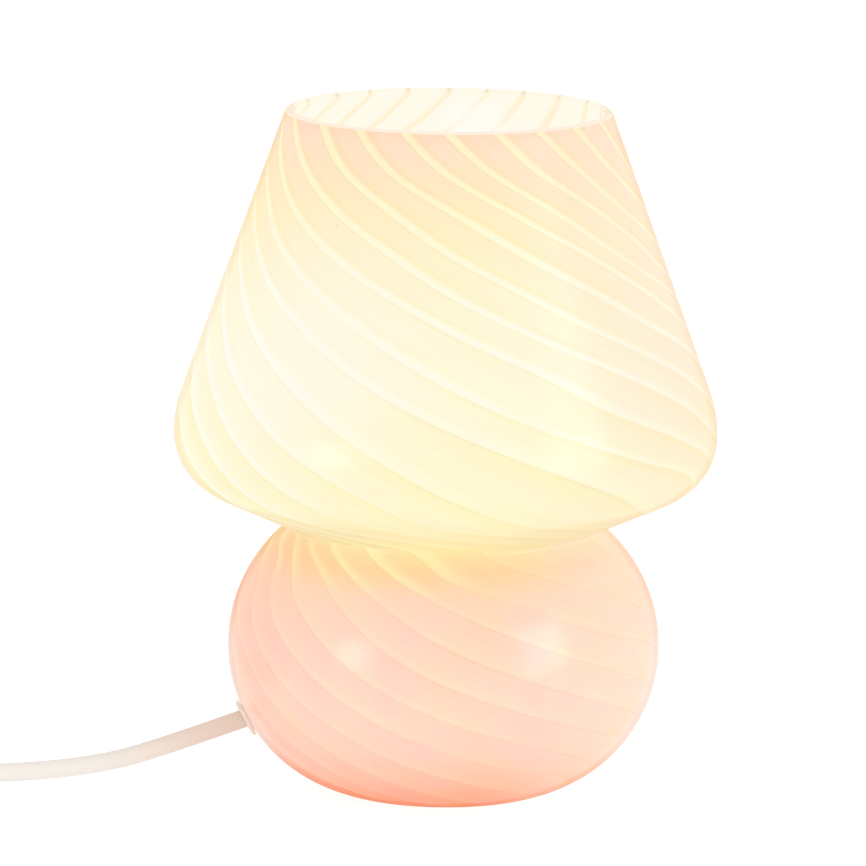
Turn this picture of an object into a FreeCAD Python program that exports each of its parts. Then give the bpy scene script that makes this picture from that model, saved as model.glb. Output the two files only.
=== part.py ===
"""Glass table lamp: a one-piece blown mushroom glass, an E14 lampholder on a sprung carrier,
a screw-in bulb, and a two-core cord with an in-line rocker switch and a flat two-pin plug.

Millimetres, +Z up. The origin is on the surface that the lamp stands on, on the axis of the glass.
"""

import FreeCAD, Part
import math
import os
import re

import Sketcher
from FreeCAD import Placement, Rotation, Vector

SIZES = {
    # Glass: outside outline, from the mouth down to the foot
    "rim_radius": 45.6,
    "rim_height": 190.7,
    "shade_radius": 76.0,
    "shade_widest": 100.3,
    "shoulder_round": 35.2,
    "underside_share": 0.637,
    "waist_radius": 43.4,
    "waist_height": 74.4,
    "waist_round": 0.8,
    "base_radius": 60.5,
    "base_widest": 39.9,
    "foot_radius": 30.8,
    "foot_inner": 24.0,
    "punt_depth": 2.5,
    "glass_wall": 2.4,
    "glass_floor": 4.0,
    # Cord exit through the glass
    "exit_height": 20.5,
    "exit_azimuth": 190.5,
    "cord_slope": 18.0,
    "cord_diameter": 5.2,
    "cord_clearance": 0.25,
    "grommet_flange_radius": 5.6,
    "grommet_flange": 1.2,
    "grommet_shank": 4.0,
    "grommet_lip": 1.0,
    "grommet_gap": 0.35,
    "hole_clearance": 0.2,
    "cord_bend": 22.0,
    # Clearances
    "seat_gap": 0.3,
    "side_gap": 0.2,
    "fit_gap": 0.05,
    "thread_gap": 0.1,
    "overrun": 20.0,
    # Sprung carrier
    "arm_rise": 0.3,
    "arm_thickness": 1.0,
    "arm_width": 8.0,
    "arm_share": 0.44,
    "arm_lap": 2.0,
    "carrier_ring": 21.0,
    "sleeve_wall": 1.5,
    "sleeve_margin": 1.6,
    "sleeve_share": 0.72,
    # Lampholder
    "holder_radius": 14.0,
    "holder_wall": 1.6,
    "holder_height": 26.0,
    "cap_height": 22.0,
    "cap_neck": 6.0,
    "cap_neck_radius": 6.5,
    "cap_flare": 8.0,
    "cap_sweep": 15.0,
    "flange_radius": 17.0,
    "flange_thickness": 2.0,
    "mouth_radius": 9.6,
    "mouth_thickness": 2.0,
    "ring_thread_start": 2.2,
    "ring_thread_pitch": 2.5,
    "ring_thread_depth": 0.5,
    "clamp_ring_radius": 19.0,
    "clamp_ring_height": 6.0,
    "grip_radius": 2.0,
    "grip_circle": 20.6,
    "grip_start": 1.5,
    "insert_height": 10.0,
    "insert_rise": 4.0,
    "terminal_spacing": 14.0,
    "terminal_screw": 1.5,
    "terminal_head": 2.2,
    "terminal_head_height": 2.0,
    "terminal_depth": 6.0,
    "core_radius": 1.0,
    "core_spacing": 2.6,
    "core_reach": 3.5,
    "cord_tail": 8.0,
    "grip_screw": 1.5,
    "socket_wall": 0.5,
    "socket_height": 19.0,
    "socket_floor_hole": 5.0,
    "contact_rise": 2.0,
    "contact_strip": 0.5,
    "contact_width": 4.0,
    "contact_half": 4.2,
    "contact_bend": 1.0,
    # Bulb
    "cap_crest": 6.95,
    "cap_thread_depth": 0.5,
    "cap_thread_pitch": 2.82,
    "cap_metal": 0.45,
    "cap_collar": 8.5,
    "collar_step": 1.35,
    "cap_thread_base": 2.4,
    "cap_collar_height": 18.5,
    "cap_top": 22.5,
    "bulb_button": 2.4,
    "bulb_button_height": 1.0,
    "bulb_neck": 8.0,
    "globe_radius": 22.5,
    "globe_height": 50.0,
    "bulb_glass_wall": 0.8,
    "stem_foot": 7.0,
    "stem_radius": 2.4,
    "stem_bottom": 20.0,
    "stem_shoulder": 25.0,
    "stem_height": 33.0,
    "stem_rod": 0.9,
    "stem_top": 62.0,
    "filament_radius": 0.9,
    "filament_length": 26.0,
    "filament_circle": 5.2,
    "filament_foot": 37.0,
    "lead_radius": 0.35,
    # In-line switch
    "switch_length": 62.0,
    "switch_width": 26.0,
    "switch_nose": 13.0,
    "switch_shoulder": 9.0,
    "switch_split": 6.5,
    "switch_cover_height": 8.5,
    "switch_wall": 1.6,
    "switch_edge": 1.2,
    "rocker_pivot": 11.2,
    "rocker_half": 9.0,
    "rocker_width": 11.4,
    "rocker_crown": 4.0,
    "rocker_dip": 2.6,
    "rocker_keel": 2.0,
    "rocker_keel_half": 3.0,
    "rocker_skirt": 1.5,
    "rocker_tilt": 7.0,
    "rocker_opening": 20.0,
    "pivot_radius": 1.2,
    "pivot_length": 2.2,
    "ear_half": 2.6,
    "ear_thickness": 2.2,
    "ear_depth": 4.2,
    "blade_length": 13.0,
    "blade_width": 4.0,
    "blade_thickness": 0.6,
    "terminal_near": 4.0,
    "terminal_far": 9.5,
    "terminal_width": 5.0,
    "terminal_top": 7.4,
    "switch_screw_x": 15.0,
    "switch_screw_y": 8.6,
    "switch_screw": 1.2,
    "switch_screw_head": 2.2,
    "switch_screw_sink": 1.6,
    "switch_screw_recess": 0.4,
    "switch_boss": 2.4,
    "clamp_near": 20.0,
    "clamp_far": 23.5,
    "clamp_width": 9.0,
    "cord_inside": 13.0,
    # Plug
    "relief_length": 22.0,
    "relief_tip": 3.3,
    "relief_root": 5.0,
    "relief_groove": 0.6,
    "plug_length": 36.0,
    "plug_width": 35.0,
    "plug_thickness": 13.7,
    "plug_heel": 13.0,
    "plug_waist": 24.0,
    "plug_waist_run": 12.0,
    "plug_full_run": 24.0,
    "plug_edge": 2.2,
    "pin_spacing": 18.6,
    "pin_length": 19.0,
    "pin_root": 10.0,
    "pin_radius": 2.0,
    "pin_shaft": 1.5,
    "sleeve_radius": 1.9,
    "sleeve_reach": 10.0,
    "pin_nose": 1.0,
    # Coil of put-away cord
    "coil_radius": 38.5,
    "coil_pitch": 5.7,
    "coil_lift": 0.9,
    "tie_thickness": 0.5,
    "tie_width": 4.0,
    "tie_gap": 0.3,
}

# Values that follow from the sizes, as formulas on a sheet of their own
WORKED = {
    # Glass: arcs that meet without a corner, and the points where they meet
    "low_arc": "((base_radius - foot_radius)^2 + base_widest^2) / (2 * (base_radius - foot_radius))",
    "waist_rise": "waist_height - base_widest",
    "high_arc": "((base_radius - waist_radius)^2 + waist_rise^2) / (2 * (base_radius - waist_radius))",
    "under_rise": "shade_widest - waist_height",
    "under_run": "shade_radius - waist_radius",
    "underside_slope": "atan2(under_rise; under_run) * underside_share",
    "slope_sin": "sin(underside_slope)",
    "slope_cos": "cos(underside_slope)",
    "slope_tan": "tan(underside_slope)",
    "under_gap": "under_rise * slope_cos - under_run * slope_sin",
    "under_round": "under_gap / (1 - slope_sin)",
    "under_centre": "shade_radius - under_round",
    "under_end_r": "under_centre + under_round * slope_sin",
    "under_end_z": "shade_widest - under_round * slope_cos",
    "cone_centre": "shade_radius - shoulder_round",
    "cone_rise": "rim_height - shade_widest",
    "cone_run": "rim_radius - cone_centre",
    "cone_angle": "atan2(cone_rise; cone_run) - acos(shoulder_round / sqrt(cone_run^2 + cone_rise^2))",
    "cone_cos": "cos(cone_angle)",
    "cone_sin": "sin(cone_angle)",
    "lip_round": "glass_wall / 2",
    "base_centre": "base_radius - high_arc",
    "low_centre": "base_radius - low_arc",
    "groove_x": "waist_radius + waist_round * slope_sin - base_centre",
    "groove_y": "waist_rise - waist_round * slope_cos",
    "groove_along": "groove_x * slope_cos + groove_y * slope_sin",
    "groove_reach": "(high_arc + waist_round)^2 - groove_x^2 - groove_y^2 + groove_along^2",
    "groove_step": "sqrt(groove_reach) - groove_along",
    "groove_r": "waist_radius + waist_round * slope_sin + groove_step * slope_cos",
    "groove_z": "waist_height - waist_round * slope_cos + groove_step * slope_sin",
    "neck_cos": "(groove_r - base_centre) / (high_arc + waist_round)",
    "neck_sin": "(groove_z - base_widest) / (high_arc + waist_round)",
    "ridge": "glass_wall + waist_round",
    "floor_r": "low_centre + sqrt((low_arc - glass_wall)^2 - (base_widest - glass_floor)^2)",
    "punt_round": "(foot_inner^2 + punt_depth^2) / (2 * punt_depth)",
    "floor_round": "(floor_r^2 + punt_depth^2) / (2 * punt_depth)",
    # Cord exit
    "cord_radius": "cord_diameter / 2",
    "exit_drop": "base_widest - exit_height",
    "exit_run": "sqrt(low_arc^2 - exit_drop^2)",
    "exit_r": "low_centre + exit_run",
    "exit_tilt": "asin(exit_drop / low_arc)",
    # Carrier: the arm's underside lies parallel to the inside of the shoulder
    "arm_offset": "ridge + sleeve_wall + seat_gap",
    "arm_foot_r": "groove_r - arm_offset * slope_sin",
    "arm_foot_z": "groove_z + arm_offset * slope_cos",
    "seat": "arm_foot_z + arm_rise",
    "bend_r": "arm_foot_r + arm_rise / slope_tan",
    "bend_inset": "arm_thickness * tan(underside_slope / 2)",
    "arm_reach": "groove_r + (under_end_r - groove_r) * arm_share",
    "tip_run": "(arm_reach - bend_r) / slope_cos",
    "sleeve_start": "tip_run * (1 - sleeve_share)",
    "sleeve_end": "tip_run + sleeve_margin",
    "sleeve_top": "arm_thickness + sleeve_wall",
    # Lampholder
    "cap_bottom": "seat - cap_height",
    "neck_top": "cap_bottom + cap_neck",
    "shell_bore": "holder_radius - holder_wall",
    "ring_bore": "holder_radius + seat_gap",
    "holder_top": "seat + holder_height",
    "cord_hole": "cord_radius + cord_clearance",
    "insert_top": "seat + insert_rise",
    "insert_bottom": "insert_top - insert_height",
    "cord_end": "cap_bottom + cord_tail",
    "socket_crest": "cap_crest + thread_gap",
    "socket_root": "socket_crest + cap_thread_depth",
    # Bulb
    "bulb_bottom": "insert_top + contact_rise + seat_gap",
    "cap_root": "cap_crest - cap_thread_depth",
    "thread_foot": "bulb_bottom + cap_thread_base",
    "collar_foot": "bulb_bottom + cap_collar_height",
    "cap_rim": "bulb_bottom + cap_top",
    "globe_centre": "bulb_bottom + globe_height",
    "neck_drop": "globe_centre - cap_rim",
    "neck_turn": "acos(globe_radius / sqrt(neck_drop^2 + bulb_neck^2)) - atan2(neck_drop; bulb_neck)",
    "neck_out_cos": "cos(neck_turn)",
    "neck_out_sin": "sin(neck_turn)",
    # Switch
    "switch_half": "switch_length / 2",
    "switch_side": "switch_width / 2",
    "switch_tip": "switch_nose / 2",
    "switch_body": "switch_half - switch_shoulder",
    "switch_top": "switch_split + switch_cover_height",
    "ceiling": "switch_top - switch_wall",
    "ear_inner": "rocker_width / 2 + side_gap * 2",
    # Plug
    "plug_front": "relief_length + plug_length",
    "plug_middle": "plug_thickness / 2",
    "pin_tip": "plug_front + pin_length",
    "pin_step": "plug_front + sleeve_reach",
    "pin_heel": "plug_front - pin_root",
    "pin_side": "pin_spacing / 2",
}

THREAD_RINGS = 6  # rings of the lampholder's outer thread
SCREW_TURNS = 5  # turns of the bulb's thread
ARMS = 3
GRIPS = 16
FILAMENTS = 4
RELIEF_RIBS = 6
COIL_HALF_TURNS = 6  # in each of the two layers, with one more that climbs between them

# The cord's routes, point by point, from the lamp to the plug
LAMP_LEAD = [
    (-64.12, -11.88, 17.41),
    (-76.5, -12.2, 13.0),
    (-92.0, -10.8, 7.6),
    (-110.0, -8.0, 4.2),
    (-129.0, -6.0, 2.6),
    (-150.0, -14.5, 2.6),
    (-172.0, -27.0, 2.6),
    (-192.0, -36.5, 3.4),
    (-208.0, -40.0, 6.5),
    (-220.0, -40.0, 6.5),
]
SWITCH_LEAD = [
    (-282.0, -40.0, 6.5),
    (-294.0, -40.0, 6.5),
    (-310.0, -35.0, 3.6),
    (-324.0, -20.0, 2.6),
    (-327.0, 4.0, 2.6),
    (-319.0, 28.0, 2.6),
    (-301.0, 48.0, 2.6),
    (-275.0, 61.0, 2.6),
    (-244.0, 67.5, 2.6),
    (-213.0, 69.925, 3.5),
    (-183.2, 69.925, 3.5),
]
PLUG_LEAD = [
    (-183.2, -7.075, 9.2),
    (-192.5, -7.075, 9.2),
    (-203.0, -5.2, 7.9),
    (-216.2, -1.7, 6.85),
    (-226.0, 0.0, 6.85),
]
COIL_CENTRE = (-178.0, 30.0)

WORD = "(?<![A-Za-z_])[a-z][a-z_]*"


def bind(text):
    """The formula with each size and worked value named by its sheet."""

    def named(match):
        word = match.group(0)
        if word in SIZES:
            return "sizes." + word
        return "worked." + word if word in WORKED else word

    return re.sub(WORD, named, text)


def value(text):
    """What a formula comes to now."""
    found = sizes.evalExpression(bind(text))
    return float(getattr(found, "Value", found))


def fill_sheets():
    """The driving sizes as plain numbers, and the worked values as formulas on them."""
    for row, (name, number) in enumerate(SIZES.items(), 1):
        sizes.set(f"A{row}", name)
        sizes.set(f"B{row}", str(number))
        sizes.setAlias(f"B{row}", name)
    doc.recompute()
    for row, (name, formula) in enumerate(WORKED.items(), 1):
        worked.set(f"A{row}", name)
        worked.setAlias(f"B{row}", name)
        worked.set(f"B{row}", "=" + bind(formula))
    doc.recompute()


def plane(body, role):
    """One of the body's own origin planes."""
    return next(f for f in body.Origin.OriginFeatures if f.Role == role)


def rounded_edge(start, end, radius):
    """An arc from start to end, its centre to the left of the way for a positive radius."""
    middle = (start + end) * 0.5
    chord = end - start
    side = Vector(-chord.y, chord.x, 0).normalize() * math.copysign(1, radius)
    rise = math.sqrt(max(radius**2 - (chord.Length / 2) ** 2, 0))
    centre = middle + side * rise
    return Part.Arc(start, centre - side * abs(radius), end)


def add_outline(sketch, outline):
    """A closed outline of (x, y) or (x, y, radius of the arc that ends here), held by its sizes."""
    spots = [Vector(value(entry[0]), value(entry[1]), 0) for entry in outline]
    ends = []
    for index, entry in enumerate(outline):
        start, end = spots[index - 1], spots[index]
        curved = len(entry) == 3
        edge = rounded_edge(start, end, value(entry[2])) if curved else Part.LineSegment(start, end)
        sketch.addGeometry(edge)
        near = sketch.getPoint(index, 2).distanceToPoint(end)
        ends.append(2 if near <= sketch.getPoint(index, 1).distanceToPoint(end) else 1)
    for index, entry in enumerate(outline):
        following = (index + 1) % len(outline)
        start_of_next = 3 - ends[following]
        sketch.addConstraint(
            Sketcher.Constraint("Coincident", index, ends[index], following, start_of_next)
        )
        for kind, formula in (("DistanceX", entry[0]), ("DistanceY", entry[1])):
            held = Sketcher.Constraint(kind, -1, 1, index, ends[index], value(formula))
            number = sketch.addConstraint(held)
            sketch.setExpression(f"Constraints[{number}]", bind(formula))
        if len(entry) == 3:
            number = sketch.addConstraint(Sketcher.Constraint("Radius", index, abs(value(entry[2]))))
            sketch.setExpression(f"Constraints[{number}]", bind(f"abs({entry[2]})"))


def drawn(name, role, outline, spot, offset="0"):
    """A body with one sketch on the named plane, lifted off it by offset."""
    body = doc.addObject("PartDesign::Body", name)
    sketch = body.newObject("Sketcher::SketchObject", name + "_outline")
    sketch.AttachmentSupport = (plane(body, role), [""])
    sketch.MapMode = "FlatFace"
    if offset != "0":
        sketch.setExpression("AttachmentOffset.Base.z", bind(offset))
    add_outline(sketch, outline)
    body.Placement = spot
    return body, sketch


def turned(name, outline, spot=Placement()):
    """A body turned about its own Z axis from an outline of (radius, height)."""
    body, sketch = drawn(name, "XZ_Plane", outline, spot)
    turn = body.newObject("PartDesign::Revolution", name + "_turn")
    turn.Profile = sketch
    turn.ReferenceAxis = (sketch, ["V_Axis"])
    turn.Angle = 360
    return body


def slab(name, outline, low, high, spot=Placement()):
    """A body of plan outline (x, y) between two heights."""
    body, sketch = drawn(name, "XY_Plane", outline, spot, low)
    pad = body.newObject("PartDesign::Pad", name + "_pad")
    pad.Profile = sketch
    pad.setExpression("Length", bind(f"({high}) - ({low})"))
    return body


def strip(name, outline, width, spot=Placement()):
    """A body of side outline (x, z) that reaches half of width to each side."""
    body, sketch = drawn(name, "XZ_Plane", outline, spot)
    pad = body.newObject("PartDesign::Pad", name + "_pad")
    pad.Profile = sketch
    pad.SideType = "Symmetric"
    pad.setExpression("Length", bind(width))
    return body


def rod(name, radius, low, high, spot=Placement()):
    """A cylinder along Z between two heights of its spot."""
    cylinder = doc.addObject("Part::Cylinder", name)
    cylinder.setExpression("Radius", bind(radius))
    cylinder.setExpression("Height", bind(f"({high}) - ({low})"))
    cylinder.Placement = spot.multiply(Placement(Vector(0, 0, value(low)), Rotation()))
    return cylinder


def joined(kind, name, first, second):
    """Part::Cut or Part::Fuse of two objects."""
    result = doc.addObject(kind, name)
    result.Base = first
    result.Tool = second
    return result


def group(name, members):
    """Separate solids kept under one name, or the tools of one cut."""
    result = doc.addObject("Part::Compound", name)
    result.Links = members
    return result


def soften(body, radius, upward=True):
    """Rounds the edges of the highest or the lowest face of a body."""
    doc.recompute()
    feature = body.Tip
    heights = [face.CenterOfMass.z for face in feature.Shape.Faces]
    chosen = heights.index(max(heights) if upward else min(heights)) + 1
    fillet = body.newObject("PartDesign::Fillet", body.Name + "_soft")
    fillet.Base = (feature, [f"Face{chosen}"])
    fillet.setExpression("Radius", bind(radius))


def at(x="0", y="0", z="0", turn=0.0):
    """A spot moved by formulas and turned about Z."""
    return Placement(Vector(value(x), value(y), value(z)), Rotation(Vector(0, 0, 1), turn))


def lengthways(height):
    """A spot at the height whose Z axis lies along X."""
    return Placement(Vector(0, 0, value(height)), Rotation(Vector(0, 1, 0), 90))


def node(label, piece):
    """Gives the finished piece the name that its file takes."""
    piece.Label = label
    nodes.append(piece)
    return piece


def arc_from(start, heading, end):
    """The arc that leaves start along heading and reaches end."""
    chord = end - start
    inward = (chord - heading * chord.dot(heading)).normalize()
    radius = chord.Length**2 / (2 * chord.dot(inward))
    centre = start + inward * radius
    outward = (start - centre) + (end - centre)
    return Part.Arc(start, centre + outward.normalize() * radius, end)


def rounded_route(points):
    """Straight runs joined by arcs as large as the runs allow; also the smallest radius."""
    share_of_run = 0.45
    spots = [Vector(*point) for point in points]
    edges, radii, last = [], [], spots[0]
    for before, corner, after in zip(spots, spots[1:], spots[2:]):
        come, go = corner - before, after - corner
        reach = share_of_run * min(come.Length, go.Length)
        turn = come.getAngle(go)
        radii.append(reach / math.tan(turn / 2))
        into, out = corner - come.normalize() * reach, corner + go.normalize() * reach
        edges += [Part.LineSegment(last, into), arc_from(into, Vector(come), out)]
        last = out
    edges.append(Part.LineSegment(last, spots[-1]))
    return edges, radii


def swept(name, edges, radius, heading):
    """A round bar of one radius along joined edges, checked by its volume."""
    path = Part.Wire([edge.toShape() for edge in edges])
    ring = Part.Wire([Part.Circle(edges[0].StartPoint, heading, radius).toShape()])
    solid = path.makePipeShell([ring], True, False)
    expected = math.pi * radius**2 * path.Length
    share = solid.Volume / expected
    print(f"{name}: length {path.Length:.1f} mm, volume {share:.4f} of section times length")
    feature = doc.addObject("Part::Feature", name)
    feature.Shape = solid
    return feature


def cord_run(label, points, radius):
    """A free or held stretch of cord along its route."""
    edges, radii = rounded_route(points)
    print(f"{label}: arc radii {[round(r, 1) for r in radii]} mm")
    heading = Vector(*points[1]) - Vector(*points[0])
    return node(label, swept(label, edges, radius, heading))


def glass():
    """The shade, waist and base blown in one piece, with the hole for the cord."""
    lip_r = "rim_radius - lip_round * (cone_cos + cone_sin)"
    lip_z = "rim_height + lip_round * (cone_cos - cone_sin)"
    inner = "(under_round - glass_wall)"
    outline = [
        ("0", "punt_depth"),
        ("foot_inner", "0", "-punt_round"),
        ("foot_radius", "0"),
        ("base_radius", "base_widest", "low_arc"),
        ("base_centre + high_arc * neck_cos", "base_widest + high_arc * neck_sin", "high_arc"),
        ("groove_r - waist_round * slope_sin", "groove_z + waist_round * slope_cos", "-waist_round"),
        ("under_end_r", "under_end_z"),
        ("shade_radius", "shade_widest", "under_round"),
        (
            "cone_centre + shoulder_round * cone_cos",
            "shade_widest + shoulder_round * cone_sin",
            "shoulder_round",
        ),
        ("rim_radius", "rim_height"),
        (lip_r, lip_z, "lip_round"),
        ("rim_radius - glass_wall * cone_cos", "rim_height - glass_wall * cone_sin", "lip_round"),
        (
            "cone_centre + (shoulder_round - glass_wall) * cone_cos",
            "shade_widest + (shoulder_round - glass_wall) * cone_sin",
        ),
        ("shade_radius - glass_wall", "shade_widest", "-(shoulder_round - glass_wall)"),
        (f"under_centre + {inner} * slope_sin", f"shade_widest - {inner} * slope_cos", f"-{inner}"),
        ("groove_r - ridge * slope_sin", "groove_z + ridge * slope_cos"),
        ("groove_r - ridge * neck_cos", "groove_z - ridge * neck_sin", "ridge"),
        ("base_radius - glass_wall", "base_widest", "-(high_arc - glass_wall)"),
        ("floor_r", "glass_floor", "-(low_arc - glass_wall)"),
        ("0", "glass_floor + punt_depth", "floor_round"),
    ]
    body = turned("glass_blank", outline)
    radius = "grommet_shank + hole_clearance"
    hole = rod("exit_hole", radius, "-overrun / 2", "overrun / 2", exit_spot)
    node("glass_body", joined("Part::Cut", "glass", body, hole))


def grommet():
    """The clear bush that lines the hole: outer flange, shank and inner lip, bored for the cord."""
    back = "-(glass_wall + grommet_gap)"
    outline = [
        ("0", f"{back} - grommet_lip"),
        ("grommet_flange_radius - grommet_flange / 2", f"{back} - grommet_lip"),
        ("grommet_flange_radius - grommet_flange / 2", back),
        ("grommet_shank", back),
        ("grommet_shank", "0"),
        ("grommet_flange_radius", "0"),
        ("grommet_flange_radius - grommet_flange", "grommet_flange", "grommet_flange"),
        ("0", "grommet_flange"),
    ]
    body = turned("grommet_blank", outline, exit_spot)
    bore = rod("grommet_bore", "cord_radius + fit_gap", "-overrun", "overrun", cord_spot)
    node("cord_grommet", joined("Part::Cut", "grommet", body, bore))


def held_cord():
    """The cord inside the base, from the lampholder's cap to the outside of the grommet."""
    radius = value("cord_radius")
    outward = cord_spot.Rotation.multVec(Vector(0, 0, 1))
    end = cord_spot.Base + outward * value("grommet_flange")
    level = math.hypot(outward.x, outward.y)
    reach = math.hypot(end.x, end.y) / level
    corner = end - outward * reach
    start = Vector(0, 0, value("cord_end"))
    turn = (corner - start).getAngle(outward)
    inset = value("cord_bend") * math.tan(turn / 2)
    into, out = corner + Vector(0, 0, inset), corner + outward * inset
    edges = [
        Part.LineSegment(start, into),
        arc_from(into, Vector(0, 0, -1), out),
        Part.LineSegment(out, end),
    ]
    node("inner_cord", swept("inner_cord", edges, radius, Vector(0, 0, 1)))
    return end


def core_wires():
    """The two cores, fanned out from the end of the cord to the terminals."""
    half, side = value("core_spacing / 2"), value("core_reach")
    low, high = value("cord_end"), value("insert_bottom - fit_gap")
    bend_share, turn_share = 0.3, 0.7
    wires = []
    for sign in (-1, 1):
        points = [
            (sign * half, 0, low),
            (sign * half, 0, low + (high - low) * bend_share),
            (sign * side, 0, low + (high - low) * turn_share),
            (sign * side, 0, high),
        ]
        edges, _ = rounded_route(points)
        heading = Vector(*points[1]) - Vector(*points[0])
        wires.append(swept(f"core_{len(wires)}", edges, value("core_radius"), heading))
    node("core_wires", group("cores", wires))


def holder_cap():
    """The lampholder's lower cap, with the cord's hole in its neck and the grip screw beside it."""
    outline = [
        ("cord_hole", "cap_bottom"),
        ("cap_neck_radius", "cap_bottom"),
        ("cap_neck_radius", "neck_top"),
        ("holder_radius", "neck_top + cap_flare", "-cap_sweep"),
        ("holder_radius", "seat - flange_thickness"),
        ("flange_radius", "seat - flange_thickness"),
        ("flange_radius", "seat"),
        ("shell_bore", "seat"),
        ("shell_bore", "neck_top + cap_flare"),
        ("cap_neck_radius - holder_wall", "neck_top"),
        ("cord_hole", "neck_top"),
    ]
    body = turned("cap_blank", outline)
    spot = lengthways("cap_bottom + cap_neck / 2")
    hole = rod("grip_hole", "grip_screw + fit_gap", "0", "overrun", spot)
    node("holder_cap", joined("Part::Cut", "cap", body, hole))
    inner, outer = "cord_radius + fit_gap", "cap_neck_radius + grip_screw"
    node("cord_grip_screw", rod("grip_screw_body", "grip_screw", inner, outer, spot))


def terminals():
    """The insulating insert and the two terminal screws that enter it from below."""
    core = turned(
        "insert_blank",
        [
            ("0", "insert_bottom"),
            ("shell_bore - side_gap", "insert_bottom"),
            ("shell_bore - side_gap", "insert_top"),
            ("0", "insert_top"),
        ],
    )
    holes, screws = [], []
    for sign in ("-", ""):
        spot = at(f"{sign}terminal_spacing / 2", "0", "insert_bottom")
        radius = "terminal_screw + fit_gap"
        holes.append(rod(f"terminal_hole_{len(holes)}", radius, "-overrun", "terminal_depth", spot))
        outline = [
            ("0", "-terminal_head_height"),
            ("terminal_head", "-terminal_head_height"),
            ("terminal_head", "0"),
            ("terminal_screw", "0"),
            ("terminal_screw", "terminal_depth"),
            ("0", "terminal_depth"),
        ]
        screws.append(turned(f"terminal_screw_{len(screws)}", outline, spot))
    node("holder_insert", joined("Part::Cut", "insert", core, group("terminal_holes", holes)))
    node("terminal_screws", group("screws", screws))


def holder_shell():
    """The lampholder's outer shell with the thread that the clamp ring runs on."""
    outline = [
        ("shell_bore", "seat"),
        ("holder_radius", "seat"),
        ("holder_radius", "seat + ring_thread_start"),
    ]
    for turn in range(THREAD_RINGS):
        foot = f"seat + ring_thread_start + {turn} * ring_thread_pitch"
        outline.append(("holder_radius - ring_thread_depth", f"{foot} + ring_thread_pitch / 2"))
        outline.append(("holder_radius", f"{foot} + ring_thread_pitch"))
    outline += [
        ("holder_radius", "holder_top"),
        ("mouth_radius", "holder_top"),
        ("mouth_radius", "holder_top - mouth_thickness"),
        ("shell_bore", "holder_top - mouth_thickness"),
    ]
    node("holder_shell", turned("shell", outline))


def screw_shell():
    """The lampholder's brass screw shell: rings of the bulb's pitch, with room to lift out."""
    inside, outside = [], []
    foot = "insert_top + socket_wall"
    for turn in range(SCREW_TURNS):
        low = f"thread_foot + {turn} * cap_thread_pitch"
        high = f"{low} + cap_thread_pitch / 2"
        inside += [("socket_crest", low), ("socket_root", high)]
        outside += [("socket_crest + socket_wall", low), ("socket_root + socket_wall", high)]
    top = "insert_top + socket_height"
    outline = [
        ("socket_floor_hole", "insert_top"),
        ("socket_crest + socket_wall", "insert_top"),
        *outside,
        ("socket_root + socket_wall", top),
        ("socket_root", top),
        *reversed(inside),
        ("socket_crest", foot),
        ("socket_floor_hole", foot),
    ]
    node("holder_screw_shell", turned("screw_socket", outline))


def centre_contact():
    """The springy tongue under the bulb's centre contact."""
    outline = [
        ("-contact_half", "insert_top"),
        ("-contact_bend", "insert_top"),
        ("contact_half / 2", "insert_top + contact_rise - contact_strip"),
        ("contact_half / 2", "insert_top + contact_rise"),
        ("-contact_bend", "insert_top + contact_strip"),
        ("-contact_half", "insert_top + contact_strip"),
    ]
    node("centre_contact", strip("contact", outline, "contact_width"))


def clamp_ring():
    """The threaded ring that clamps the carrier on the cap's flange, with finger grips."""
    low, high = "seat + arm_thickness", "seat + arm_thickness + clamp_ring_height"
    outline = [
        ("holder_radius + side_gap", low),
        ("clamp_ring_radius", low),
        ("clamp_ring_radius", high),
        ("holder_radius + side_gap", high),
    ]
    ring = turned("ring_blank", outline)
    tools = []
    for grip in range(GRIPS):
        spot = at(turn=grip * 360 / GRIPS).multiply(at("grip_circle"))
        start, end = f"{low} + grip_start", f"{high} + overrun"
        tools.append(rod(f"grip_{grip}", "grip_radius", start, end, spot))
    node("clamp_ring", joined("Part::Cut", "ring", ring, group("grips", tools)))


def carrier():
    """The sprung steel carrier, its three arms bent up to the slope of the shoulder, and the sleeves."""

    def along(run, rise):
        return (
            f"bend_r + ({run}) * slope_cos - ({rise}) * slope_sin",
            f"seat + ({run}) * slope_sin + ({rise}) * slope_cos",
        )

    hub = turned(
        "hub",
        [
            ("ring_bore", "seat"),
            ("carrier_ring", "seat"),
            ("carrier_ring", "seat + arm_thickness"),
            ("ring_bore", "seat + arm_thickness"),
        ],
    )
    arm_outline = [
        ("carrier_ring - arm_lap", "seat"),
        ("bend_r", "seat"),
        along("tip_run", "0"),
        along("tip_run", "arm_thickness"),
        ("bend_r - bend_inset", "seat + arm_thickness"),
        ("carrier_ring - arm_lap", "seat + arm_thickness"),
    ]
    sleeve_outline = [
        along("sleeve_start", "-sleeve_wall"),
        along("sleeve_end", "-sleeve_wall"),
        along("sleeve_end", "sleeve_top"),
        along("sleeve_start", "sleeve_top"),
    ]
    solid, sleeves = hub, []
    for arm in range(ARMS):
        spot = at(turn=90 + arm * 360 / ARMS)
        bar = strip(f"arm_{arm}", arm_outline, "arm_width", spot)
        solid = joined("Part::Fuse", f"carrier_{arm}", solid, bar)
        blank = strip(f"sleeve_blank_{arm}", sleeve_outline, "arm_width + sleeve_wall * 2", spot)
        sleeves.append(joined("Part::Cut", f"sleeve_{arm}", blank, bar))
    node("spring_carrier", solid)
    node("carrier_sleeves", group("sleeves", sleeves))


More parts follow.
